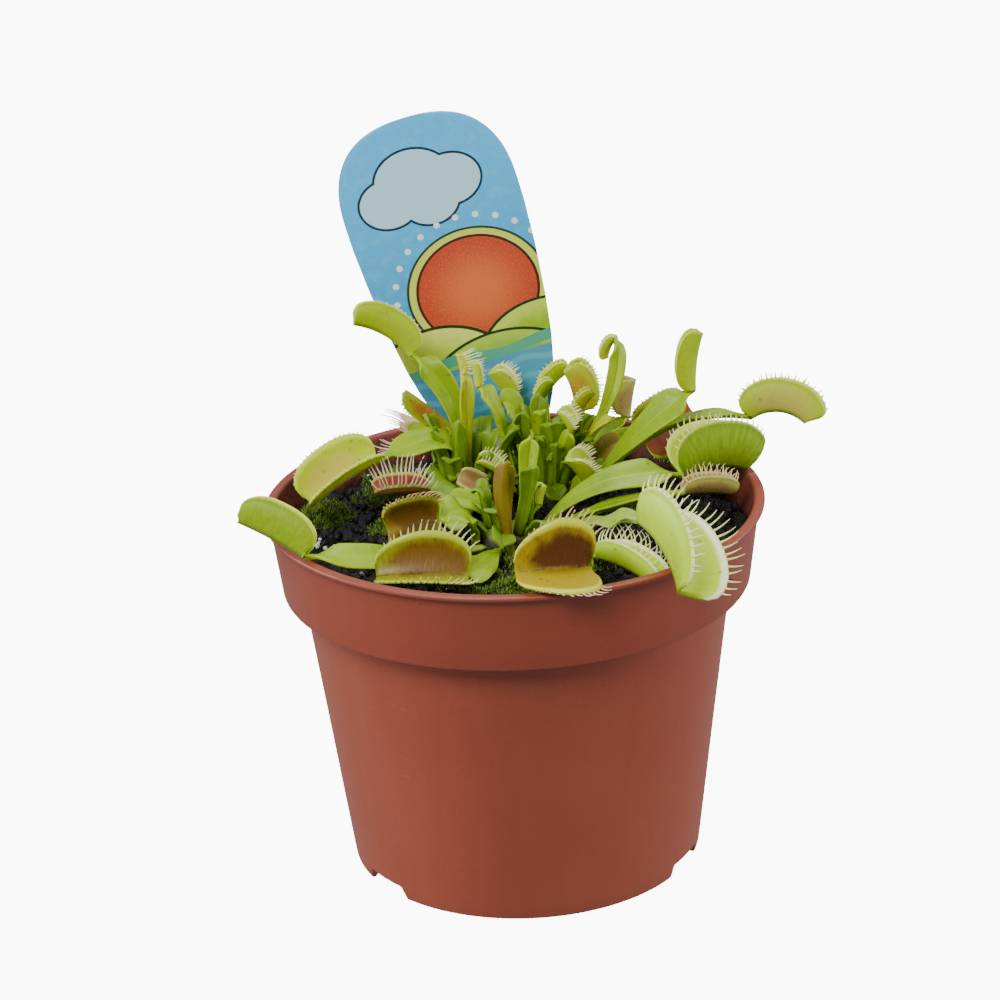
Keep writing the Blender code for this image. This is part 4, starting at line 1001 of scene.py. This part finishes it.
# Each leaf: its crown, heading and reach, the shape of its petiole, then its trap and teeth.
LEAVES = {
    "front_centre": dict(turn=-68, veer=6, reach=34.8, rise=8.7, arch=1.5, fold=15, trap=12.5,
        aim=-173, mouth=-45, gape=92, bulge=15, lobe=0.66, blunt=0.22, curve=12, fan=40, slant=18,
        taper=1.2, bias=0.9, tooth=2.4, cilia=15, look="rusty"),
    "front_left": dict(turn=-110, reach=22.7, rise=3.2, arch=0.5, wing=7, fold=10, twist=-20,
        trap=15.5, aim=180, lift=2, mouth=-28, gape=84, lobe=0.48, blunt=0.3, curve=15, fan=40,
        slant=12, taper=1.5, bias=0.7, tooth=3, cilia=17, look="olive", waves=2, wave=0.4),
    "far_left": dict(turn=-149.5, veer=8, reach=41, rise=8.2, arch=-0.5, sway=2, wing=6.5, fold=15,
        twist=-30, trap=13, aim=165, lift=27, mouth=22, gape=14, lobe=0.48, blunt=0.2, curve=10,
        fan=40, tooth=0.25, cilia=12, look="bright", wave=0.35),
    "open_right": dict(turn=-43, veer=26, reach=30.4, rise=12, arch=1, sway=1.8, fold=15, twist=20,
        trap=18.2, aim=-70, lift=-23, mouth=-46, gape=66, bulge=40, curve=36, fan=50, tooth=3.9,
        cilia=18, look="gape", waves=3, wave=0.6, thick=0.22),
    "closed_right": dict(turn=-45, veer=5, reach=21.5, rise=3.4, arch=0.5, sway=-0.3, wing=7,
        trap=16, aim=-52, lift=-4, mouth=-15, lobe=0.28, tooth=3.2, cilia=14, look="gape",
        thick=0.17, curl=0.8, waves=2, wave=0.4),
    "red_upright": dict(turn=-88, reach=7.2, rise=19, root=6.6, arch=0.5, sway=-1, fold=50,
        base=1.4, look="split"),
    "narrow_up": dict(turn=54, veer=6, reach=7.8, rise=18.4, arch=1.6, wing=4, fold=35, twist=30,
        look="bright"),
    "strap": dict(turn=13.5, veer=14, reach=32.5, rise=9, arch=3.8, lean=2, wing=7, fold=15,
        twist=35, trap=13, aim=20, lift=-4, mouth=-17, gape=35, bulge=60, lobe=0.7, curve=35,
        fan=40, tooth=1.7, cilia=18, look="glossy", curl=0.5, waves=1, wave=0.2),
    "withered_right": dict(turn=5, reach=31.3, rise=7.6, arch=1, sway=1, lean=1, wing=3, fold=30,
        trap=10, aim=19, lift=-10, gape=20, lobe=0.35, curve=10, tooth=2.6, cilia=12, look="faded",
        curl=0.5),
    "upright_right": dict(crown="back", turn=-7, veer=-17, reach=26.8, rise=21.3, arch=2.5, sway=-1,
        lean=-1, wing=6.5, twist=65, trap=11, lift=82, gape=18, lobe=0.33, blunt=0.3, tooth=0.3,
        cilia=8, look="fresh"),
    "far_right": dict(crown="back", turn=2, reach=37.5, rise=13.8, arch=4.8, sway=0.5, wing=4,
        fold=25, trap=11, aim=-15, lift=-3, mouth=-18, gape=18, lobe=0.56, curve=78, fan=60,
        tooth=1.6, cilia=18, look="blushed"),
    "tall": dict(crown="back", turn=5, veer=27, reach=12.9, rise=30.5, root=3, foot=4.7, arch=1.8,
        sway=-2.7, lean=-3.6, wing=3.6, fold=30, twist=80, base=1.4, trap=4.5, aim=180, lift=-65,
        gape=18, lobe=0.35, curve=40, fan=20, tooth=0.8, cilia=6, look="pale"),
    "red_inside": dict(crown="back", turn=31, veer=19, reach=21, rise=7, arch=3, wing=4, twist=90,
        trap=10.5, lift=32, mouth=75, gape=110, bulge=30, lobe=0.6, tooth=1.5, cilia=14,
        look="crimson"),
    "brown_closed": dict(crown="back", turn=46, veer=26, reach=22.3, rise=9.6, arch=1, lean=-1.5,
        wing=3.6, trap=7.5, aim=10, lift=80, gape=35, bulge=60, lobe=0.55, curve=10, fan=-10,
        tooth=2, cilia=12, look="faded"),
    "orange_closed": dict(crown="back", turn=53, veer=21, reach=9.2, rise=15, root=3, foot=4.7,
        arch=1.5, lean=-0.5, wing=3.6, twist=160, base=1.4, trap=7.6, aim=180, lift=75, bulge=70,
        lobe=0.68, curve=30, tooth=1.5, cilia=12, look="amber"),
    "green_small": dict(crown="back", turn=91, veer=7, reach=14, rise=16, arch=2, wing=3.6,
        twist=-80, trap=6.5, lift=42, gape=20, lobe=0.45, curve=10, tooth=1, cilia=8, look="fresh"),
    "upper_left": dict(crown="left", turn=141, veer=-33, reach=12.4, rise=27.3, arch=3.8, sway=-1.9,
        lean=2.7, fold=25, twist=-60, trap=12.6, aim=180, lift=34, mouth=20, gape=18, lobe=0.41,
        curve=45, fan=8, tooth=0.8, cilia=16, look="fresh"),
    "wedge": dict(crown="left", turn=100, veer=-22, reach=14.4, rise=10.2, arch=2, sway=-0.5,
        lean=-0.5, wing=4, fold=25, twist=-170, trap=12, aim=180, lift=42, mouth=180, gape=18,
        bulge=30, lobe=0.25, blunt=0.15, curve=-10, fan=0, tooth=1.6, cilia=14, look="split"),
    "pink_cilia": dict(crown="left", turn=127, veer=26, reach=12, rise=11, arch=3, sway=-1.5,
        lean=-1.5, wing=4, fold=25, twist=80, trap=8, aim=-105, lift=5, mouth=75, gape=55, bulge=35,
        lobe=0.45, curve=10, fan=20, tooth=6, cilia=12, look="pink", thick=0.2),
    "large_left": dict(crown="left", turn=-161.5, veer=-10, reach=17.3, rise=12, arch=6.7, sway=0.8,
        lean=7.8, wing=6.5, fold=15, twist=-30, trap=14.5, aim=-154, lift=-22, mouth=-20, gape=56,
        lobe=0.49, blunt=0.25, curve=30, fan=40, tooth=1.1, cilia=20, look="blushed", waves=1,
        wave=0.2),
    "red_cilia": dict(crown="left", turn=-124.5, veer=-4, reach=12.4, rise=7.2, arch=3.2, sway=0.8,
        lean=1.5, wing=8, fold=15, twist=-40, trap=10, aim=-168, lift=5, mouth=-10, gape=60,
        lobe=0.35, curve=10, fan=40, tooth=4.4, cilia=15, look="scarlet", waves=2, wave=0.4),
    "olive_open": dict(turn=-151, veer=-17, reach=14.4, rise=7.8, arch=2.7, sway=-0.7, lean=2,
        wing=8, fold=15, twist=-30, trap=9.5, aim=-157, lift=1, mouth=-55, gape=75, bulge=85,
        lobe=0.62, curve=15, fan=40, tooth=3.6, cilia=16, look="dusky", waves=3, wave=0.6),
    "left_blade": dict(turn=159, veer=-47, reach=12.2, rise=7.5, root=6.5, arch=1.8, lean=1.5,
        wing=4.5, twist=-40, look="fresh"),
    "beige_small": dict(crown="left", turn=-71, veer=-25, reach=9.1, rise=6.9, arch=1, sway=1,
        lean=-0.5, wing=3, twist=-150, trap=5.5, aim=180, lift=29, mouth=-60, gape=60, bulge=60,
        curve=10, fan=-10, tooth=1.4, cilia=9, look="faded"),
    "inner_left": dict(crown="left", turn=-44, veer=-1, reach=8.6, rise=8.5, arch=1.5, sway=0.5,
        lean=-0.5, wing=3.5, twist=-120, trap=5.5, aim=180, lift=33, mouth=-20, gape=50, bulge=60,
        lobe=0.45, curve=10, fan=-10, tooth=2.2, cilia=9, look="pale"),
    "vertical": dict(crown="left", turn=93, veer=-3, reach=3.2, rise=25, root=3, foot=4.7, arch=4.4,
        lean=0.8, wing=3.6, fold=30, twist=60, base=1.4, trap=4, aim=180, lift=79, gape=25,
        lobe=0.3, curve=10, fan=-10, tooth=4, cilia=8, look="yellowed"),
    "long_blade": dict(crown="back", turn=-167, veer=-3, reach=13, rise=23.7, arch=4.6, sway=0.9,
        wing=4.4, fold=25, twist=-60, trap=4.5, aim=180, lift=85, gape=20, lobe=0.3, curve=0,
        fan=20, tooth=1, cilia=5, look="pale"),
    "pale_point": dict(crown="back", turn=175, veer=-12, reach=9, rise=18.5, arch=5.3, sway=-1.1,
        lean=1.5, wing=5.5, fold=25, twist=-50, look="pale"),
    "green_trap": dict(crown="back", turn=100, veer=20, reach=8, rise=16, root=3, foot=4.7, arch=2,
        wing=4, fold=25, twist=-40, base=1.4, trap=5, lift=54, gape=22, bulge=60, lobe=0.45,
        curve=10, fan=-10, tooth=0.8, cilia=6, look="bright"),
    "frill": dict(crown="back", turn=123, veer=4, reach=12.6, rise=16, arch=3.5, sway=-0.5,
        lean=-0.8, wing=3.4, fold=25, twist=25, trap=6.5, aim=180, lift=57, gape=50, bulge=40,
        lobe=0.55, curve=10, fan=-10, tooth=1.8, cilia=12, look="pale"),
    "small_cilia_a": dict(crown="back", turn=-60, veer=-22, reach=8, rise=15.8, root=3, foot=4.7,
        arch=0.8, sway=-0.1, wing=4, fold=25, twist=-110, base=1.4, trap=4.5, aim=180, lift=60,
        mouth=-20, gape=60, bulge=60, curve=10, fan=-10, tooth=2, cilia=10, look="pale"),
    "folded_right": dict(crown="back", turn=-17, veer=-28, reach=5.5, rise=16.8, root=3, foot=4.7,
        arch=1, wing=4, fold=35, twist=40, base=1.4, trap=5.2, lift=53, gape=22, lobe=0.4, curve=10,
        fan=20, tooth=0.8, cilia=6, look="olive"),
    "small_cilia_b": dict(crown="back", turn=-59, veer=-1, reach=11.6, rise=7, arch=1, sway=0.5,
        lean=-0.5, wing=3.4, fold=25, twist=-60, trap=6.5, aim=-145, lift=54, mouth=-30, gape=60,
        bulge=40, lobe=0.58, curve=10, fan=-10, tooth=1.8, cilia=12, look="pale"),
    "blade_right": dict(crown="back", turn=22, veer=8, reach=15, rise=8.4, arch=2.2, sway=-0.8,
        twist=50, look="russet"),
    "bud": dict(turn=16, reach=5.8, rise=7, root=3, foot=4.7, arch=0.3, wing=1.6, base=1.4,
        trap=3.8, lift=75, gape=50, bulge=30, lobe=0.4, curve=10, fan=-10, tooth=1.2, cilia=5,
        look="pale"),
    "yellow_tip": dict(crown="back", turn=-20, veer=8, reach=12.8, rise=17, root=3, foot=4.7,
        arch=2, wing=2.4, fold=30, twist=40, base=1.4, look="yellowed"),
    "mid_blade": dict(crown="back", turn=-102, veer=-40, reach=5.4, rise=19, root=3, foot=4.7,
        arch=3, wing=3, fold=30, twist=30, base=1.4, look="fresh"),
}


class LeafSettings(bpy.types.PropertyGroup):
    """What every leaf shares."""

    tooth_scale: FloatProperty(
        name="Tooth length", description="Length of all cilia against their usual length", default=1.0,
        min=0.0, max=2.0)
    waves: FloatProperty(
        name="Waviness", description="How far the petioles' margins wave", default=1.0, min=0.0, max=3.0)
    seed: IntProperty(name="Seed", description="Seed of the teeth and of each leaf's markings", default=3)


class FLYTRAP_OT_leaves(bpy.types.Operator):
    """Grow every leaf: petiole, trap and teeth, each in its own colours"""

    bl_idname = "flytrap.leaves"
    bl_label = "Leaves"

    def execute(self, context):
        """One piece a leaf, standing for the node of the same name."""
        settings = context.scene.flytrap_leaves
        for index, (name, given) in enumerate(LEAVES.items()):
            p = dict(LEAF_DEFAULTS, seed=index * 1.7, **given)
            if not p["trap"]:
                p["neck"] = BLUNT_NECK
            p["tooth"] *= settings.tooth_scale
            p["wave"] *= settings.waves
            rng = np.random.default_rng((settings.seed, index))
            leaf = leaf_mesh("fine_" + name, p, rng)
            node = "leaf_" + name
            material = leaf_material(name + " leaf", LOOKS[p["look"]], rng.uniform(0, 40))
            dress(leaf, material, SLOTS[node], node)
        return {"FINISHED"}


# ---------------------------------------------------------------- crowns

CROWN_PROFILE = np.array([
    (0.02, -6.0), (4.6, -6.0), (5.0, -4.0), (5.0, 0.0), (4.9, 1.8), (4.5, 2.8), (3.6, 3.4), (2.4, 3.8),
    (1.2, 3.95), (0.02, 4.0)])
CROWN_COLUMNS = 48
CROWN_RIBS = 7
RIB_DEPTH = 0.05
# How many low, short and tall young blades stand round each crown.
YOUNG_BLADES = {"front": (7, 3, 1), "back": (9, 14, 22), "left": (9, 12, 10)}
GOLDEN_ANGLE = 137.5


def crown_material():
    """Pale green and white leaf bases over brown rhizome skin."""
    sh = Shader("crown skin", Subsurface_Weight=0.15, Subsurface_Scale=0.001, Roughness=0.55)
    at = sh.place()
    cloud = sh.noise(at, 260.0, 4.0)
    rise = sh.parts(at)[2].rise(0.062, 0.0655)
    colour = sh.mix((rise + cloud - 0.5).rise(0.2, 0.8), srgb(50, 46, 26), srgb(104, 112, 46))
    return sh.finish(colour, None, cloud, 0.0004, 0.8)


def sheaths(rng, cx, cy, low, short, tall):
    """Young blades round a crown: low broad ones, short ones and tall narrow ones, each with its
    place on the blade."""
    parts, places = [], []
    for k in range(low + short + tall):
        if k < low:
            reach, rise, wing = rng.uniform(8.0, 13.0), rng.uniform(1.6, 4.8), rng.uniform(3.6, 5.8)
        elif k < low + short:
            reach, rise, wing = rng.uniform(4.0, 8.0), rng.uniform(7.0, 12.0), rng.uniform(3.2, 5.0)
        else:
            reach, rise, wing = rng.uniform(3.5, 11.0), rng.uniform(12.0, 19.0), rng.uniform(2.8, 4.4)
        p = dict(LEAF_DEFAULTS, seed=k * 2.1, turn=GOLDEN_ANGLE * k + rng.uniform(-15, 15), root=3.6,
                 foot=2.2 if k < low else 3.4, reach=reach, rise=rise, arch=rng.uniform(1.0, 2.6),
                 sway=rng.uniform(-1.0, 1.0), wing=wing, fold=rng.uniform(10, 38),
                 twist=rng.uniform(-40, 40), base=2.2, neck=BLUNT_NECK, wave=0.3)
        t, v = np.linspace(0, 0.985, 26), np.linspace(-1, 1, 13)
        rows = leaf_rows(p, t, np.zeros(0), v) + np.array([cx, cy, 0.0]) - [*CROWNS[p["crown"]], 0.0]
        below, above = blade_half_thickness(p, t, np.zeros(0), v)
        parts.append(closed_sheet(rows, below, above))
        places.append(leaf_place(t, v))
    points, faces = joined(parts)
    return points, faces, np.concatenate(places)


def crown_surface(centre):
    """A dome carried round an upright axis, drawn in between its ribs above the soil."""
    r, z = CROWN_PROFILE[:, :1], CROWN_PROFILE[:, 1:]
    ribs = 0.5 + 0.5 * np.sin(CROWN_RIBS * circle(CROWN_COLUMNS))
    return turned(r * (1 - RIB_DEPTH * ribs * ease(z, 0.5, 1.5)), SOIL_Z + z, SOIL_Z + CROWN_PROFILE[0, 1],
                  SOIL_Z + CROWN_PROFILE[-1, 1], centre)


class FLYTRAP_OT_crowns(bpy.types.Operator):
    """Set the three rhizomes in the soil, wrapped in young blades"""

    bl_idname = "flytrap.crowns"
    bl_label = "Crowns"

    def execute(self, context):
        """A ribbed dome for each, with its young blades as a second piece."""
        skin = crown_material()
        green = leaf_material("sheath leaf", LOOKS["deep"], 3.0)
        for index, (key, centre) in enumerate(CROWNS.items()):
            crown = mesh_object("fine_crown_" + key, *crown_surface(centre))
            dress(crown, skin, "crown_skin", "crown_" + key)
            rng = np.random.default_rng((5, index))
            points, faces, place = sheaths(rng, *centre, *YOUNG_BLADES[key])
            attributes = {"leaf_place": place, "tooth": np.zeros(len(points))}
            dress(mesh_object("sheaths_" + key, points, faces, attributes), green, "leaf_green")
        return {"FINISHED"}


# ---------------------------------------------------------------- label

LABEL_BASE = np.array([-2.1, 34.0, 72.6])
LABEL_LEAN = radians(14.5)
LABEL_THICK = 0.7
LABEL_HALF_WIDTH = 16.6
LABEL_SHOULDER = 42.0
LABEL_DOME = 17.3
STAKE_LENGTH = 24.0
BEVEL_WIDTH = 0.4
BEVEL_DEPTH = 0.12
# Half widths of the tongue at heights from the stake's tip up to the shoulder.
LABEL_KNOTS = (-24.0, -19.0, -5.5, -2.5, 1.0, 7.0, 12.0, 19.0, 29.0, 38.0, 42.0)
LABEL_WIDTHS = (2.5, 5.0, 5.0, 9.5, 11.2, 13.0, 14.1, 15.1, 16.1, 16.6, 16.6)


def label_surface():
    """A tongue with a blunt dome, as rows across it from the stake's tip to the top.

    Over the shoulder the half width w and height h keep (w/a)^2.5 + (h/b)^2.5 = 1.
    Gives each point's u across and v up in the label's own plane, and how far the softened
    edge lies under the flat face there.
    """
    low = np.linspace(-STAKE_LENGTH, LABEL_SHOULDER, 120)
    low_width = np.interp(low, LABEL_KNOTS, LABEL_WIDTHS)
    a = np.linspace(0, pi / 2, 60)[1:-1]
    high = LABEL_SHOULDER + LABEL_DOME * np.sin(a) ** 0.8
    high_width = LABEL_HALF_WIDTH * np.cos(a) ** 0.8
    v = np.concatenate([low, high, [LABEL_SHOULDER + LABEL_DOME]])
    width = np.concatenate([low_width, high_width, [BEVEL_WIDTH]])
    across = np.linspace(-1, 1, 21)
    u = width[:, None] * across
    bevel = BEVEL_DEPTH * np.clip((np.abs(u) - width[:, None] + BEVEL_WIDTH) / BEVEL_WIDTH, 0, 1) ** 2
    return u, np.broadcast_to(v[:, None], u.shape), bevel


def label_material():
    """Printed card: a generic hill and sun picture under a semi-gloss coat, pale on the back.

    The label_uv attribute holds u and v in millimetres and which face it is, so each shape
    of the picture is a distance in those units.
    """
    sh = Shader("printed card", Specular_IOR_Level=0.4, Coat_Weight=0.12, Coat_Roughness=0.3)
    u, v, side = sh.parts(sh.attribute("label_uv"))
    plane = sh.vector(u, v, 0.0)
    mottle = sh.noise(plane, 0.45, 4.0, 0.6)
    grain = sh.noise(plane, 2.6, 3.0, 0.6)
    sky = sh.mix(v.rise(8.0, 50.0), srgb(66, 150, 206), srgb(88, 184, 250))
    sky = sh.mix((mottle * 0.7 + grain * 0.3).rise(0.45, 0.7) * 0.35, sky, srgb(136, 206, 244))

    def disc(cx, cy, across, tall=None):
        """Distance from a centre as a share of the radii, 1 on the edge."""
        x, y = (u - cx) / across, (v - cy) / (tall or across)
        return (x * x + y * y) ** 0.5

    def over(ground, distance, fill, edge=0.0, line=srgb(30, 60, 60)):
        """Paint a shape inside distance 1, with an outline of a given share of its size."""
        ground = sh.mix(distance.rise(1.0 + edge, 0.995 + edge), ground, line) if edge else ground
        return sh.mix(distance.rise(1.0, 0.985), ground, fill)

    ground = sky
    cloud_discs = ((-7.5, 44.5, 4.6), (-2.0, 47.5, 6.0), (4.6, 46.0, 4.8), (0.0, 43.0, 4.4))
    for cx, cy, r in cloud_discs:
        ground = over(ground, disc(cx, cy, r * 1.2 + 0.45, r + 0.45), srgb(28, 52, 70))
    for cx, cy, r in cloud_discs:
        ground = over(ground, disc(cx, cy, r * 1.2, r), srgb(180, 212, 230))
    sun = disc(3.4, 24.0, 11.2, 10.4)
    fire = sh.mix(sun.rise(0.2, 1.0), srgb(212, 104, 56), srgb(186, 70, 36))
    fire = sh.mix(grain.rise(0.5, 0.7) * 0.35, fire, srgb(222, 140, 76))
    ground = over(ground, disc(3.4, 24.0, 13.0, 12.0), srgb(206, 204, 104), 0.03, srgb(40, 62, 40))
    ground = over(ground, sun, fire, 0.04, srgb(70, 34, 26))
    for turn in range(13):
        a = radians(6 + 14.0 * turn)
        ground = over(ground, disc(3.4 + 15.4 * cos(a), 24.0 + 14.6 * sin(a), 0.6), srgb(238, 238, 228))
    for cx, cy, across, tall, fill, light in (
            (13.0, 8.5, 13.0, 10.5, srgb(150, 172, 62), srgb(198, 206, 100)),
            (-8.0, 7.0, 14.0, 12.0, srgb(186, 194, 84), srgb(214, 214, 120)),
            (3.5, 4.5, 15.0, 10.5, srgb(128, 160, 70), srgb(176, 190, 92))):
        hill = disc(cx, cy, across, tall)
        body = sh.mix((hill + mottle * 0.4).rise(0.75, 1.2), fill, light)
        ground = over(ground, hill, body, 0.045, srgb(36, 56, 34))
    strip = (v + (u * 0.35).wave() * 0.5 - 11.4).size().rise(1.1, 1.0)
    ground = sh.mix(strip, ground, srgb(88, 160, 140))
    low = v.rise(10.3, 10.0)
    water = sh.mix(((v * 1.7 + (u * 0.6).wave() * 0.9).wave()).rise(0.2, 0.9) * 0.4,
                   srgb(84, 150, 182), srgb(124, 186, 210))
    ground = sh.mix(low, ground, water)
    ground = sh.mix(v.rise(-3.0, -3.6), ground, srgb(214, 214, 206))
    stain = sh.noise(plane, 0.9, 4.0, 0.65).rise(0.5, 0.66) * v.rise(8.0, -2.0)
    ground = sh.mix(stain * 0.5, ground, srgb(70, 60, 40))
    back = sh.mix(grain.rise(0.4, 0.7) * 0.25, srgb(214, 216, 212), srgb(196, 200, 198))
    colour = sh.mix(side.rise(-0.5, 0.5), back, ground)
    return sh.finish(colour, 0.3 + grain * 0.12, mottle, 0.0001, 0.25)


class FLYTRAP_OT_label(bpy.types.Operator):
    """Print the plant label and set it leaning at the back of the pot"""

    bl_idname = "flytrap.label"
    bl_label = "Label"

    def execute(self, context):
        """Front and back faces with softened edges, joined round the outline."""
        u, v, bevel = label_surface()
        depth = LABEL_THICK / 2 - bevel
        c, s = cos(LABEL_LEAN), sin(LABEL_LEAN)
        sides = [np.stack([u * c - v * s, y, u * s + v * c], -1) for y in (-depth, depth)]
        points = np.stack(sides).reshape(-1, 3) + LABEL_BASE
        place = [np.stack([u, v, np.full(u.shape, side)], -1).reshape(-1, 3) for side in (1.0, -1.0)]
        faces = sheet_faces(*u.shape)[:, ::-1]
        label = mesh_object("label_card", points, faces, {"label_uv": np.concatenate(place)})
        label.data.set_sharp_from_angle(angle=radians(50))
        dress(label, label_material(), "label_card", "plant_label")
        return {"FINISHED"}


# ---------------------------------------------------------------- stage

FLOOR_HALF_SIDE = 6.0
WORLD_STRENGTH = 0.36
# Each light's place in metres, the width of its disc and its power in watts.
LIGHTS = {
    "key": ((-0.28, -0.55, 0.72), 0.40, 8.8), "left": ((-0.75, 0.05, 0.22), 0.45, 4.8),
    "right": ((0.75, 0.05, 0.22), 0.45, 5.6), "top": ((0.1, 0.35, 0.8), 0.5, 3.4)}
LIGHT_TARGET = np.array([0.0, 0.0, 0.07])
VIEW_TARGET = np.array([-2.45, 0.0, 67.75])
VIEW_TILT = radians(21.6)
VIEW_ROLL = radians(-2.48)


class StageSettings(bpy.types.PropertyGroup):
    """Floor, light and view."""

    floor: FloatVectorProperty(
        name="Floor colour", description="Colour of the paper floor", subtype="COLOR",
        default=(0.92, 0.92, 0.92))
    distance: FloatProperty(
        name="Camera distance", description="From the camera to the middle of the plant", default=0.55,
        subtype="DISTANCE", unit="LENGTH")
    lens: FloatProperty(name="Lens", description="Focal length in millimetres", default=110.29, min=10.0)


def paper_floor(colour):
    """A wide sheet of white paper that glows to the camera but lights nothing."""
    mesh = bpy.data.meshes.new("floor")
    side = FLOOR_HALF_SIDE
    corners = [(-side, -side, 0.0), (side, -side, 0.0), (side, side, 0.0), (-side, side, 0.0)]
    mesh.from_pydata(corners, [], [(0, 1, 2, 3)])
    floor = linked(bpy.data.objects.new("floor", mesh))
    paper = Shader("paper", Roughness=0.9, Specular_IOR_Level=0.1, Emission_Strength=9.0,
                   Emission_Color=(1.0, 1.0, 1.0))
    mesh.materials.append(paper.finish(tuple(colour)))
    floor.visible_diffuse = False
    floor.visible_glossy = False
    return floor


def disc_light(name, place, size, power, target):
    """A round area light aimed at a point."""
    data = bpy.data.lights.new(name, "AREA")
    data.shape = "DISK"
    data.size = size
    data.energy = power
    light = linked(bpy.data.objects.new(name, data))
    light.location = place
    away = Vector(target) - Vector(place)
    light.rotation_euler = away.to_track_quat("-Z", "Y").to_euler()


def view_camera(lens, distance):
    """A camera that looks down at the plant, turned a little about its own line of sight."""
    tilt, roll = VIEW_TILT, VIEW_ROLL
    forward = np.array([0.0, cos(tilt), -sin(tilt)])
    right, up = np.array([1.0, 0.0, 0.0]), np.array([0.0, sin(tilt), cos(tilt)])
    turned_right = right * cos(roll) + up * sin(roll)
    turned_up = up * cos(roll) - right * sin(roll)
    place = POT_CENTRE + VIEW_TARGET * MM - forward * distance
    data = bpy.data.cameras.new("view")
    data.lens = lens
    data.sensor_width = 36.0
    data.clip_start = 0.01
    camera = linked(bpy.data.objects.new("view", data))
    axes = np.stack([turned_right, turned_up, -forward], -1)
    camera.matrix_world = Matrix.Translation(Vector(place)) @ Matrix(axes.tolist()).to_4x4()
    return camera


class FLYTRAP_OT_stage(bpy.types.Operator):
    """Lay the floor, light it softly and set the camera"""

    bl_idname = "flytrap.stage"
    bl_label = "Stage"

    def execute(self, context):
        """White paper, a white world, four soft lights and a camera with a slight roll."""
        settings = context.scene.flytrap_stage
        paper_floor(settings.floor)
        world = bpy.data.worlds.new("studio")
        world.use_nodes = True
        background = world.node_tree.nodes["Background"]
        background.inputs["Color"].default_value = (1.0, 1.0, 1.0, 1.0)
        background.inputs["Strength"].default_value = WORLD_STRENGTH
        context.scene.world = world
        for name, (place, size, power) in LIGHTS.items():
            disc_light(name, place, size, power, POT_CENTRE + LIGHT_TARGET)
        context.scene.camera = view_camera(settings.lens, settings.distance)
        return {"FINISHED"}


# ---------------------------------------------------------------- add-on


class FLYTRAP_PT_panel(bpy.types.Panel):
    """Lists the pieces, with their settings."""

    bl_idname = "FLYTRAP_PT_panel"
    bl_label = "Potted Flytrap"
    bl_space_type = "VIEW_3D"
    bl_region_type = "UI"
    bl_category = "Flytrap"

    def draw(self, context):
        """A button for each operator, then the settings."""
        for operator in OPERATORS:
            self.layout.operator(operator.bl_idname)
        for key in SETTINGS:
            box = self.layout.box()
            group = getattr(context.scene, key)
            for name in group.bl_rna.properties.keys():
                if name not in {"rna_type", "name"}:
                    box.prop(group, name)


OPERATORS = (FLYTRAP_OT_stage, FLYTRAP_OT_pot, FLYTRAP_OT_soil, FLYTRAP_OT_moss, FLYTRAP_OT_label,
             FLYTRAP_OT_crowns, FLYTRAP_OT_leaves)
SETTINGS = {
    "flytrap_pot": PotSettings, "flytrap_soil": SoilSettings, "flytrap_leaves": LeafSettings,
    "flytrap_stage": StageSettings}


def register():
    """Register the classes and hang each group of settings on the scene."""
    for cls in (*SETTINGS.values(), *OPERATORS, FLYTRAP_PT_panel):
        bpy.utils.register_class(cls)
    for key, group in SETTINGS.items():
        setattr(bpy.types.Scene, key, PointerProperty(type=group))


def unregister():
    """Undo register."""
    for key in SETTINGS:
        delattr(bpy.types.Scene, key)
    for cls in (FLYTRAP_PT_panel, *reversed(OPERATORS), *SETTINGS.values()):
        bpy.utils.unregister_class(cls)


def main():
    """Make the stage and every piece in order."""
    register()
    bpy.ops.flytrap.stage()
    bpy.ops.flytrap.pot()
    bpy.ops.flytrap.soil()
    bpy.ops.flytrap.moss()
    bpy.ops.flytrap.label()
    bpy.ops.flytrap.crowns()
    bpy.ops.flytrap.leaves()


if __name__ == "__main__":
    main()
